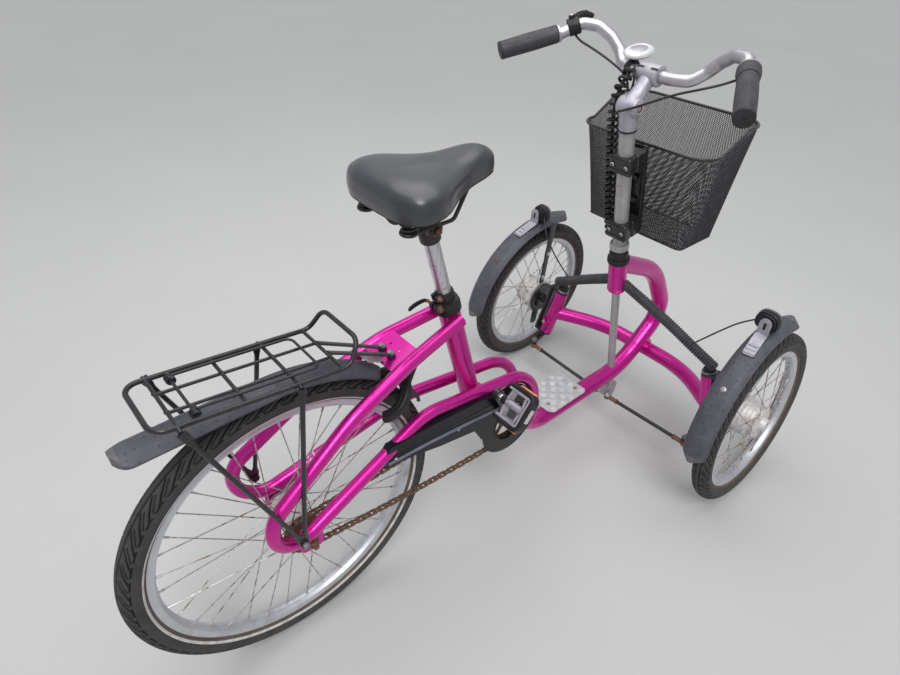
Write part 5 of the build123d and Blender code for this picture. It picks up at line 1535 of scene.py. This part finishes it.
def arcThrough(a, b, c, count):
    # the circle through three places in a plane, from a past b to c
    (ax, az), (bx, bz), (cx, cz) = a, b, c
    d = 2 * (ax * (bz - cz) + bx * (cz - az) + cx * (az - bz))
    ux = ((ax**2 + az**2) * (bz - cz) + (bx**2 + bz**2) * (cz - az) + (cx**2 + cz**2) * (az - bz)) / d
    uz = ((ax**2 + az**2) * (cx - bx) + (bx**2 + bz**2) * (ax - cx) + (cx**2 + cz**2) * (bx - ax)) / d
    start, middle, end = (math.atan2(z - uz, x - ux) for x, z in (a, b, c))
    turn = (end - start) % (2 * np.pi)
    if (middle - start) % (2 * np.pi) > turn:
        turn -= 2 * np.pi
    t = start + turn * np.linspace(0, 1, count)
    r = math.hypot(ax - ux, az - uz)
    return np.stack([ux + r * np.cos(t), uz + r * np.sin(t)], -1)


def makeCrank(s):
    arms = [rod(bracketAt - (0, s["armOut"], 0), bracketAt + (0, s["armOut"], 0), 8.5, 24)]
    eyes = []
    for side in (1, -1):
        eye = bracketAt - crankRun * s["arm"] * side
        middle = (s["armIn"] + s["armOut"]) / 2
        t = np.linspace(0, 1, 30)
        wide = np.interp(t, [0, 0.12, 0.5, 0.88, 1], [16, 13, 10.5, 10.5, 11.5])
        deep = np.interp(t, [0, 0.12, 0.5, 0.88, 1], [7, 7, 5.6, 6, 6.5])
        line = bracketAt + (eye - bracketAt) * t[:, None] + (0, side * middle, 0)
        soft = rectangle(2, 2, 0.7, 5)
        arms.append(sweep(line, soft, up=(0, 1, 0), scale=np.c_[wide, deep]))
        for at, radius in ((bracketAt, 17), (eye, 12)):
            rim = [(0, -6.8), (radius - 1.5, -6.8), (radius, -5.4), (radius, 5.4), (radius - 1.5, 6.8),
                (0, 6.8)]
            arms.append(turned(rim, 36, at + (0, side * middle, 0), (0, side, 0)))
        arms.append(rod(eye + (0, side * s["armOut"], 0), eye + (0, side * s["pedalEnd"], 0), 4.4, 16))
        eyes += bolt(eye + np.array([0, side * (s["armOut"] + 0.1), 0]), (0, side, 0), 15, 5, 0)
        eyes += domed(bracketAt + np.array([0, side * s["armOut"], 0]), (0, side, 0), 10, 3)
    arms.append(rod(bracketAt - (0, 43.5, 0), bracketAt - (0, 72, 0), 18, 36))
    makePiece("crankArms", arms, "blackEnamel", "crank", ["crank_set"])
    makePiece("crankNuts", eyes, "boltSteel", "crank")
    # the ring: a toothed disc with round windows, three spokes' width between them
    count = s["ringTeeth"]
    t = wholeTurn(count * 8)
    outer = s["ringRadius"] - 2.2 + 2.4 * np.clip(0.3 + np.cos(t * count), -0.5, 1)
    rings = [np.stack([np.cos(t) * r, np.sin(t) * r], -1) for r in (outer, 0 * outer + 46)]
    at = bracketAt - (0, s["chainLine"], 0)
    flat = [at + r[:, :1] * (1, 0, 0) + r[:, 1:] * np.array([0, 0, 1.0]) for r in rings]
    lift = np.array([0, 1.1, 0])
    made = [grid(np.stack([flat[0] - lift, flat[0] + lift, flat[1] + lift, flat[1] - lift]), True, True)]
    for k in range(5):
        a = 2 * np.pi * k / 5 + 0.3
        way = raised(a)
        made.append(block((34, 11, 2.6), at + way * 33, way, (0, 1, 0), 2))
    made.append(rod(at - (0, 2, 0), at + (0, 2, 0), 22, 36))
    makePiece("chainring", made, "rustyChain", "crank")


def makePedal(name, side, s):
    # local axes: along the platform, out from the crank, and through its thickness
    eye = bracketAt - crankRun * s["arm"] * side
    tilt = math.radians(s["pedalTilt"])
    along = raised(tilt)
    out = np.array([0, side, 0.0])
    through = np.cross(out, along)
    centre = eye + out * s["pedalOut"]
    body = f"pedal_{name}"

    def at(a, o, n=0.0):
        return centre + along * a + out * o + through * n

    # black rim round three sides, its section rounded, its outer corners cut by a radius
    route = roundPath([at(33, -33), at(37.5, -10), at(37.5, 29.5), at(-37.5, 29.5), at(-37.5, -10),
        at(-33, -33)], [30, 13, 13, 30], 2.5)
    rim = [sweep(route, rectangle(9, 24, 3, 5), up=through)]
    barrel = [(4.5, -36), (8.5, -36), (9.5, -34.5), (9.5, -28), (11, -26), (11, -24), (4.5, -24)]
    rim.append(turned(barrel, 28, centre, out, closed=True))
    makePiece("pedalRim" + name.capitalize(), rim, "blackPlastic", body, [body])
    # bright cage: a waisted barrel, two rails and their cross webs, the windows open between
    t = np.linspace(-27, 26, 25)
    waist = 9.5 - 1.8 * np.cos(t / 27 * np.pi / 2)
    cage = [turned([(4.5, -27)] + [(r, o) for r, o in zip(waist, t)] + [(4.5, 26)], 28, centre, out,
        closed=True)]
    for sign in (1, -1):
        rail = np.stack([at(sign * 29.5, o) for o in np.linspace(-29, 22, 12)])
        cage.append(sweep(rail, rectangle(5, 25, 1.2, 3), up=through))
        for o, lean in ((-22, 3), (17, -3)):
            web = np.stack([at(sign * k, o + lean * (abs(k) - 8) / 22) for k in np.linspace(7, 29.5, 8)])
            cage.append(sweep(web, rectangle(5.5, 21, 1.5, 3), up=through))
    for n in (1, -1):
        rail = np.stack([at(k, 23.5, n * 9.5) for k in np.linspace(-30, 30, 9)])
        cage.append(sweep(rail, rectangle(4, 5, 1, 3), up=through))
    makePiece("pedalCage" + name.capitalize(), cage, "castAlloy", body)
    amber = [block((40, 11, 2), at(sign * 42.3, 6), out, along * sign, 1.5) for sign in (1, -1)]
    makePiece("pedalAmber" + name.capitalize(), amber, "amberLens", body)
    pale = [block((30, 12, 2), at(0, 34.3), along, out, 2)]
    makePiece("pedalPale" + name.capitalize(), pale, "lampGlass", body)
    end = [turned([(0, 24), (7, 24), (7.4, 26), (6.6, 27.6), (0, 28)], 24, centre, out)]
    makePiece("pedalEnd" + name.capitalize(), end, "blackPlastic", body)


def makeChain(s):
    x, z = s["bracket"][0], s["bracket"][2]
    top = np.stack([np.linspace(0, x + 9, 60), np.linspace(38.6, z + 66.2, 60)], -1)
    loop = np.concatenate([top, arcThrough((x + 9, z + 66.2), (x + 66.8, z), (x - 4, z - 66.7), 40)[1:],
        arcThrough((x - 4, z - 66.7), (240, -66), (-2, -38.6), 80)[1:], arcThrough((-2, -38.6), (-38.6, 0),
        (0, 38.6), 30)[1:]])
    along = distances(loop)
    count = int(round(along[-1] / s["pitch"] / 2)) * 2
    wanted = np.linspace(0, along[-1], count, endpoint=False)
    pins = np.stack([np.interp(wanted, along, loop[:, k]) for k in (0, 1)], -1)
    pins = np.stack([rearX + pins[:, 0], np.full(count, -s["chainLine"]), rearZ + pins[:, 1]], -1)
    after = np.roll(pins, -1, 0)
    plates = []
    for i in range(count):
        # a link's side is two round ends and a waist between them
        way = unit(after[i] - pins[i])
        rise = np.cross(way, (0, 1, 0))
        middle, half = (pins[i] + after[i]) / 2, s["pitch"] / 2
        a = np.linspace(np.pi * 0.32, -np.pi * 0.32, 4)
        end = np.stack([half + 4.0 * np.cos(a), 4.0 * np.sin(a)], -1)
        outline = np.concatenate([end, [(0, -2.9)], -end, [(0, 2.9)]])
        apart = 4.1 if i % 2 else 2.7
        for y in (apart, -apart - 1.1):
            flat = middle + outline[:, :1] * way + outline[:, 1:] * rise + (0, y, 0)
            plates.append(grid(np.stack([flat, flat + (0, 1.1, 0)]), wrapColumns=True, caps=True))
    plates.append(bars(pins - (0, 5.6, 0), pins + (0, 5.6, 0), 1.8, 7))
    plates.append(bars(pins - (0, 2.5, 0), pins + (0, 2.5, 0), 3.9, 9))
    makePiece("chainLinks", plates, "rustyChain", "frame", ["chain"])


def makeCase(s):
    # the case's outer face is flat, with a raised strip along its rounded top edge painted pale as a
    # highlight, and a bead round the crank's window
    x, z = s["bracket"][0], s["bracket"][2]
    inner, outer = s["caseDepth"]
    r = s["caseRadius"]
    top = np.array([(163, 84), (300, 78.5), (x - 20, z + r)])
    nose = arcThrough((x, z + r), (x + r, z), (x, z - r), 60)
    back = np.array([(x - 40, z - 60), (413, -13.5), (390, 24.5), (295, 40.5), (206, 62), (163, 64)])
    low = arcThrough((x, z - r), (x - r * 0.72, z - r * 0.69), (413, -13.5), 24)[1:]
    outline = np.concatenate([top, nose, low, back[2:]])
    place = np.c_[rearX + outline[:, 0], np.zeros(len(outline)), rearZ + outline[:, 1]]
    middle = np.array([rearX + x, 0, rearZ + z])
    bead = sweep(place[3:63] + (0, -outer + 1.2, 0) + unit(middle - place[3:63]) * 3, circle(2.2, 10))
    # the strip's pale colour is a painted highlight on the case's rounded top edge
    ridge = smoothPath([place[0] + (8, -outer + 0.8, -11), rear(270, -outer + 0.8, 69),
        rear(380, -outer + 0.8, 60), rear(462, -outer + 0.8, 51)], 50)
    pale = sweep(ridge, circle(2.6, 12) * (1.0, 2.2), up=(0, 1, 0))
    makePiece("caseRidgeHighlight", [pale], "caseRidgeHighlight", "frame")
    # the case's top rises to the stay and folds in over the chain
    fold = np.array([(168, 90), (180, 106), (300, 105), (400, 98), (462, 88), (474, 78)])
    fold = np.c_[rearX + fold[:, 0], 0 * fold[:, 0], rearZ + fold[:, 1]]
    low = fold - (0, 0, 26)
    hood = np.stack([low - (0, outer - 0.5, 0), fold - (0, outer - 2.5, 0), fold - (0, inner + 4, 0), low
        - (0, inner + 2, 0)], 1)
    cover = grid(hood, wrapColumns=True, caps=True)
    a = wholeTurn(72)
    hole = middle + np.stack([np.cos(a) * s["windowRadius"], 0 * a - outer + 0.8, np.sin(a)
        * s["windowRadius"]], -1)
    window = sweep(hole, circle(2.6, 10), up=(0, 1, 0), closed=True)
    makePiece("caseBeads", [bead, window, cover], "caseEnamel", "frame")
    heads = []
    for dx, dz in ((190 - x, 73 - z), (345 - x, 58 - z), (62, 44)):
        heads += domed(middle + (dx, -outer, dz), (0, -1, 0), 4.5, 2.4, 1.8)
    makePiece("caseScrews", heads, "boltSteel", "frame")


makeCrank(driveSettings)
makePedal("left", 1, driveSettings)
makePedal("right", -1, driveSettings)
makeChain(driveSettings)
makeCase(driveSettings)
print("drive made")


# Rack: bent wire with its cross wires, welded beads, stays, flat struts and the sprung clip
rackSettings = {
    "loop": [(127, 51, 375), (104, 63, None), (-187.7, 60, None)],
    "bends": [20, 20, 24, 24, 20, 20],
    "rail": 4,
    "cross": (-156, -62, 17, 92),
    "slats": 23,
    "slope": 0.095,
    "clipX": -127,
}


def rackZ(x):
    return 339.5 + (105 - x) * rackSettings["slope"]


def makeRack(s):
    half = [(x, y, rackZ(x) if z is None else z) for x, y, z in s["loop"]]
    corners = [rear(*p) for p in half] + [rear(x, -y, z) for x, y, z in reversed(half)]
    made = [sweep(closedPath(corners, s["bends"], 4.0), circle(s["rail"], 16), up=(0, 0, 1), closed=True)]
    for x in s["cross"]:
        made.append(rod(rear(x, -61.5, rackZ(x)), rear(x, 61.5, rackZ(x)), 3, 14))
    for y in (-s["slats"], s["slats"]):
        made.append(rod(rear(-158, y, rackZ(-158) - 2.5), rear(94, y, rackZ(94) - 2.5), 2.6, 14))
    x = s["clipX"]
    made.append(rod(rear(x, -61, rackZ(x)), rear(x, 61, rackZ(x)), 2.5, 14))
    for x in s["cross"]:  # beads of weld where the wires meet
        for y in (-60.5, -s["slats"], s["slats"], 60.5):
            t = np.linspace(0, np.pi, 6)
            bead = [(4.2 * math.sin(a), -3.6 * math.cos(a)) for a in t]
            made.append(turned(bead, 12, rear(x, y, rackZ(x) - 0.6)))
    makePiece("rackWires", made, "blackEnamel", "frame", ["rack"])


def makeStays():
    made, heads = [], []
    for side in (1, -1):
        low = rear(-24, side * 91, 41.5)
        for x in (17, -156):
            top = rear(x, side * 67, rackZ(x))
            end = rear(x, side * 71, rackZ(x) - 3)
            t = np.linspace(0, 1, 40)
            wide = np.interp(t, [0, 0.05, 0.09, 0.92, 0.96, 1], [8, 8, 4, 4, 7, 7])
            deep = np.interp(t, [0, 0.05, 0.09, 0.92, 0.96, 1], [1.8, 1.8, 4, 4, 1.8, 1.8])
            line = low + (end - low) * t[:, None]
            made.append(sweep(line, circle(1.0, 16), (0, 1, 0), scale=np.c_[wide, deep]))
            made.append(rod(end - (0, side, 0), rear(x, side * 61, rackZ(x)), 3.5, 12))
        made.append(rod(low - (0, side * 4, 0), low + (0, side * 4, 0), 8, 24))
        heads += bolt(low + (0, side * 4, 0), (0, side, 0), 13, 5, 0)
        # flat struts forward to the bridge plate, each end flattened round its bolt
        foot, top = rear(214, side * 13, 281), rear(94, side * 16, rackZ(94) + 2)
        t = np.linspace(0, 1, 24)
        wide = np.interp(t, [0, 0.1, 0.2, 1], [7.5, 7.5, 6, 6])
        soft = rectangle(2, 2, 0.8, 4)
        line = foot + (top - foot) * t[:, None]
        made.append(sweep(line, soft, (0, 0, 1), scale=np.c_[wide, 0 * wide + 2]))
        made.append(turned([(0, -2), (8, -2), (8, 2), (0, 2)], 24, foot, (-0.28, 0, 0.96)))
        heads += bolt(foot + (-0.5, 0, 2), (-0.28, 0, 0.96), 10, 4, 13)
    makePiece("rackStays", made, "blackEnamel", "frame", ["rack_stays"])
    makePiece("rackBolts", heads, "ringSteel", "frame")


def makeClip(s):
    x, rise = s["clipX"], 5.8
    corners = [rear(x + 4, 44, rackZ(x) + rise), rear(62, 46, rackZ(62) + rise), rear(62, -46, rackZ(62)
        + rise), rear(x + 4, -44, rackZ(x) + rise)]
    made = [sweep(roundPath(corners, [12, 12], 3.0), circle(2.25, 12))]
    for side in (1, -1):
        t = np.linspace(0, 2 * np.pi * 3.25, 90)
        helix = rear(x, side * 37.5, rackZ(x)) + np.stack([5.4 * np.sin(t), side * (t / t[-1]) * 14, 5.4
            * np.cos(t)], -1)
        made.append(sweep(helix, circle(2.0, 8), up=(0, 1, 0)))
        made.append(rod(rear(x, side * 37, rackZ(x)), rear(x, side * 52, rackZ(x)), 3.4, 14))
        made.append(sweep(smoothPath([helix[0], helix[0] + (3, 0, 0.3), corners[0 if side > 0 else 3]], 10),
            circle(2.2, 8)))
    makePiece("rackClip", made, "blackEnamel", "clip", ["rack_clip"])


makeRack(rackSettings)
makeStays()
makeClip(rackSettings)
print("rack made")


# Ring lock, tread plate, axle nuts and the small fittings on the frame
lockSettings = {"angle": 41, "reach": 278.25, "middle": 43.5, "wide": 21, "deep": 20, "gap": 44}


def makeLock(s):
    a = math.radians(s["angle"])
    out = raised(a)
    centre = rear(s["reach"] * math.cos(a), 0, s["reach"] * math.sin(a))
    t = np.radians(np.linspace(s["gap"], 360 - s["gap"], 60))
    back, across = s["middle"] * np.cos(t), s["middle"] * np.sin(t)
    arc = centre - out * back[:, None] + across[:, None] * (0, 1.0, 0)
    radial = unit(arc - centre)
    soft = rectangle(s["deep"] - 2, s["wide"], 6, 6)
    made = [sweep(arc, soft, up=radial)]
    axis = np.cross(out, (0, 1, 0))
    for k in (-9.2, 9.2):
        made.append(sweep(arc + axis * k, circle(1.4, 8), up=radial))
    for side in (1, -1):
        made.append(rod(centre + out * 38 + (0, side * 28, 0), rear(252, side * 42, 277), 5, 16))
    made.append(block((34, 26, 24), centre + out * 46 + (0, 6, 0) - axis, (0, 1, 0), axis, 6))
    key = centre + out * 36 + (0, 34, 0)
    made.append(rod(key - axis * 10, key - axis * 22, 8, 20))
    made += [block((3, 26, 22), key - axis * (22 + 5 * k), axis, out, 2) for k in range(4)]
    made.append(block((20, 22, 18), key - axis * 28, axis, out, 2))
    makePiece("ringLock", made, "blackPlastic", "frame", ["ring_lock"])


treadSettings = {
    "place": (760, 0, -120.9),
    "slope": 0.0389,
    "thick": 2.6,
    "corners": [(-70, -14), (-58, -26), (66, -26), (66, 76), (-22, 76), (-70, 28)],
    "rounds": [8, 8, 12, 14, 18, 14],
    "pitch": 17,
    "bar": (12.5, 1.7),
}


def makeTread(s):
    xAxis = unit((1, 0, s["slope"]))
    normal = unit((-s["slope"], 0, 1))
    flat = [np.array([x, y, 0.0]) for x, y in s["corners"]]
    outline = closedPath(flat, s["rounds"], 3.0)
    origin = rear(*s["place"])
    made = [plate(outline[:, :2], s["thick"], origin, xAxis, normal)]
    # raised bars in fives, the fives lying across each other in turn
    starts, ends = [], []
    inside = np.array([p[:2] for p in outline])
    yAxis = np.cross(normal, xAxis)
    for i in range(-5, 6):
        for j in range(-3, 7):
            centre = np.array([i * s["pitch"], j * s["pitch"]])
            way = unit((1.0, 1.0) if (i + j) % 2 else (1.0, -1.0))
            beside = np.array([-way[1], way[0]])
            for k in range(-2, 3):
                a = centre + beside * k * 3.1 - way * s["bar"][0] / 2
                b = centre + beside * k * 3.1 + way * s["bar"][0] / 2
                if all(within(p, inside) for p in (a - way, b + way)):
                    starts.append(origin + xAxis * a[0] + yAxis * a[1] + normal * s["thick"])
                    ends.append(origin + xAxis * b[0] + yAxis * b[1] + normal * s["thick"])
    made.append(bars(starts, ends, s["bar"][1] / 2, 6))
    makePiece("treadPlate", made, "treadAlloy", "frame", ["tread_plate"])
    screws = []
    for x, y in ((-50, 4), (48, 0)):
        screws += domed(origin + xAxis * x + yAxis * y + normal * s["thick"], normal, 4.6, 2.0, 1.8)
    makePiece("treadScrews", screws, "rustySteel", "frame")


def within(point, outline):
    # counts the outline's sides to the right of the point
    x, y = point
    nextOne = np.roll(outline, -1, 0)
    crosses = (outline[:, 1] > y) != (nextOne[:, 1] > y)
    step = nextOne - outline
    edge = outline[:, 0] + (y - outline[:, 1]) / (step[:, 1] + 1e-12) * step[:, 0]
    return bool(np.sum(crosses & (x < edge)) % 2)


def makeAxle():
    made = [rod(rear(0, -84, 0), rear(0, 84, 0), 5, 20)]
    for side in (1, -1):
        at = rear(0, side * 69, 0)
        made += bolt(at, (0, side, 0), 17, 8, 24)
        made.append(turned([(0, 0), (8, 0), (9, 1), (9, 4.5), (0, 4.5)], 24, rear(0, side * 58.5, 0),
            (0, side, 0)))
        for k in range(9):  # threads on the axle's end
            ring = [(4.8, 0), (5.5, 0.5), (4.8, 1.0)]
            made.append(turned(ring, 16, rear(0, side * (74.5 + k), 0), (0, side, 0), closed=True))
    makePiece("rearAxle", made, "rustySteel", "frame", ["rear_axle"])


def makeFrameFittings():
    # stops on the kingpin housings, cable lugs, and rolled rims on the tube ends
    lugs, pins = [], []
    for side in (1, -1):
        at = onKingpin(side, 106) + (-28, 0, 0)
        lugs.append(block((18, 7, 16), at + (2, 0, 0), (1, 0, 0), (0, 0, 1), 3))
        pins += bolt(at + (-7, 0, 0), (-1, 0, 0), 10, 5, 0)
        up = kingpinUp(side)
        for down in (2.2, 155.8):
            lugs.append(turned([(18.5, -2), (19.6, -1.2), (19.6, 1.2), (18.5, 2)], 40, onKingpin(side, down),
                up, closed=True))
    for z in (236, 311):
        lugs.append(turned([(21.5, -3), (22.6, -2), (22.6, 2), (21.5, 3)], 44, onColumn(z), columnUp,
            closed=True))
    makePiece("frameLugs", lugs, "magentaPaint", "frame")
    makePiece("framePins", pins, "boltSteel", "frame")
    # the mudguard's front flap below the lock
    angle = np.radians(np.linspace(44, 27, 24))
    path = onWheel("rear", angle, 318, 0)
    up = unit(path - onWheel("rear", angle, 0 * angle, 0))
    flap = guardStrip(path, up, 7, False, True, np.zeros(24))
    makePiece("frontFlap", [flap], "flapPlastic", "frame", smooth=60)
    # a pair of plain pale stripes round the left chain stay
    low, high = rear(-68, 75, 2), rear(275, 34, 120.5)
    along = unit(high - low)
    stripes = [rod(low + along * k, low + along * (k + 4), 12.95, 28) for k in (150, 161)]
    makePiece("stayStripes", stripes, "palePaint", "frame")
    # the hub's brake strap
    strap = [rod(rear(-2, 52, 0), rear(-2, 58, 0), 13, 28)]
    arm = plate([(-12, -10), (96, -4), (104, 2), (96, 9), (-12, 12)], 3, rear(0, 56.5, 2),
        unit((0.94, 0, 0.34)), (0, -1, 0))
    makePiece("brakeArm", strap + [arm], "boltSteel", "frame")


makeLock(lockSettings)
makeTread(treadSettings)
makeAxle()
makeFrameFittings()
print("fittings made")


# Cables: smooth lines through control points given in millimetres from the point between the front hubs
cableRoutes = {
    "leftBrakeCable": {"points": [(-181, 192, 777), (-186, 176, 768), (-184, 145, 760), (-192, 104, 752),
                                  (-196, 66, 741), (-186, 38, 722), (-188, 33, 700)], "length": 0.188},
    "rightBrakeCable": {"points": [(-186, -192, 771), (-204, -172, 758), (-228, -138, 744), (-231, -98, 728),
                                   (-240, -50, 702), (-244, -8, 680), (-232, 22, 668), (-214, 36, 652)],
                        "length": 0.285},
    "bellCable": {"points": [(-172, 38, 742), (-198, 22, 740), (-196, 16, 722), (-186, 26, 704)],
                  "length": 0.066},
    "firstWrappedCable": {"points": [(x - 2.7, y, z) for x, y, z in cableSettings["coil"]], "length": 0.385},
    "secondWrappedCable": {"points": [(x + 2.7, y, z) for x, y, z in cableSettings["coil"]],
        "length": 0.385},
}
cableRadius = 2.3


def makeCable(name, s):
    points = [front(*p) for p in s["points"]]
    data = cordSpline(name, points)
    data.splines[0].resolution_u = 10
    data.bevel_depth = cableRadius / 1000
    data.bevel_resolution = 4
    data.use_fill_caps = True
    data.materials.append(finishes["capRubber"])
    cable = bpy.data.objects.new(name, data)
    bpy.context.scene.collection.objects.link(cable)
    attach(cable, "steering")


for name, route in cableRoutes.items():
    makeCable(name, route)


def makeLampCable(end):
    # from the lamp to the sleeve; the tube is baked in place on no body
    side = sideOf[end]
    points = [(-52, 313, 283), (-74, 290, 272), (-84, 262, 240), (-76, 226, 192), (-58, 196, 150)]
    line = cordLine([front(x, side * y, z) for x, y, z in points], 60)
    cable = makePiece("lampCable" + end.capitalize(), [sweep(line, circle(1.9, 8))], "capRubber", None)
    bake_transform(cable)


for end in sideOf:
    makeLampCable(end)
print("cables made")


# Floor and light
stageSettings = {
    "floorSize": 60000,
    "sun": ((-1500, -1900, 3600), 30, 1.5),
    "over": ((0, 300, 2700), 2600, 38),
    "sky": (0.86, 0.88, 0.92),
    "skyStrength": 0.55,
    "paper": ((0.5, 0.5, 0.49), (0.52, 0.52, 0.51), (0.7, 0.8), {"toneScale": 1.2}),
}


def makeStage(s):
    half = s["floorSize"] / 2
    flat = np.array([[(-half, -half, 0), (-half, half, 0)], [(half, -half, 0), (half, half, 0)]], float)
    points, faces = grid(flat)
    mesh = bpy.data.meshes.new("floor")
    mesh.from_pydata((points / 1000).tolist(), [], [f[::-1] for f in faces])
    floor = bpy.data.objects.new("floor", mesh)
    bpy.context.scene.collection.objects.link(floor)
    mesh.materials.append(makeFinish("paperFloor", *s["paper"]))
    for name, kind in (("sun", "SUN"), ("over", "AREA")):
        place, size, power = s[name]
        light = bpy.data.lights.new(name + "Light", kind)
        light.energy = power
        if kind == "SUN":
            light.angle = math.radians(size)
        else:
            light.size = size / 1000
        lamp = bpy.data.objects.new(name + "Light", light)
        bpy.context.scene.collection.objects.link(lamp)
        lamp.location = Vector(place) / 1000
        lamp.rotation_euler = (Vector((0, 0, 0.4)) - lamp.location).to_track_quat("-Z", "Y").to_euler()
    world = bpy.data.worlds.new("studioWorld")
    world.use_nodes = True
    background = world.node_tree.nodes["Background"]
    background.inputs["Color"].default_value = (*s["sky"], 1)
    background.inputs["Strength"].default_value = s["skyStrength"]
    bpy.context.scene.world = world
    bpy.context.scene.view_settings.view_transform = "Standard"


makeStage(stageSettings)
print("stage made")
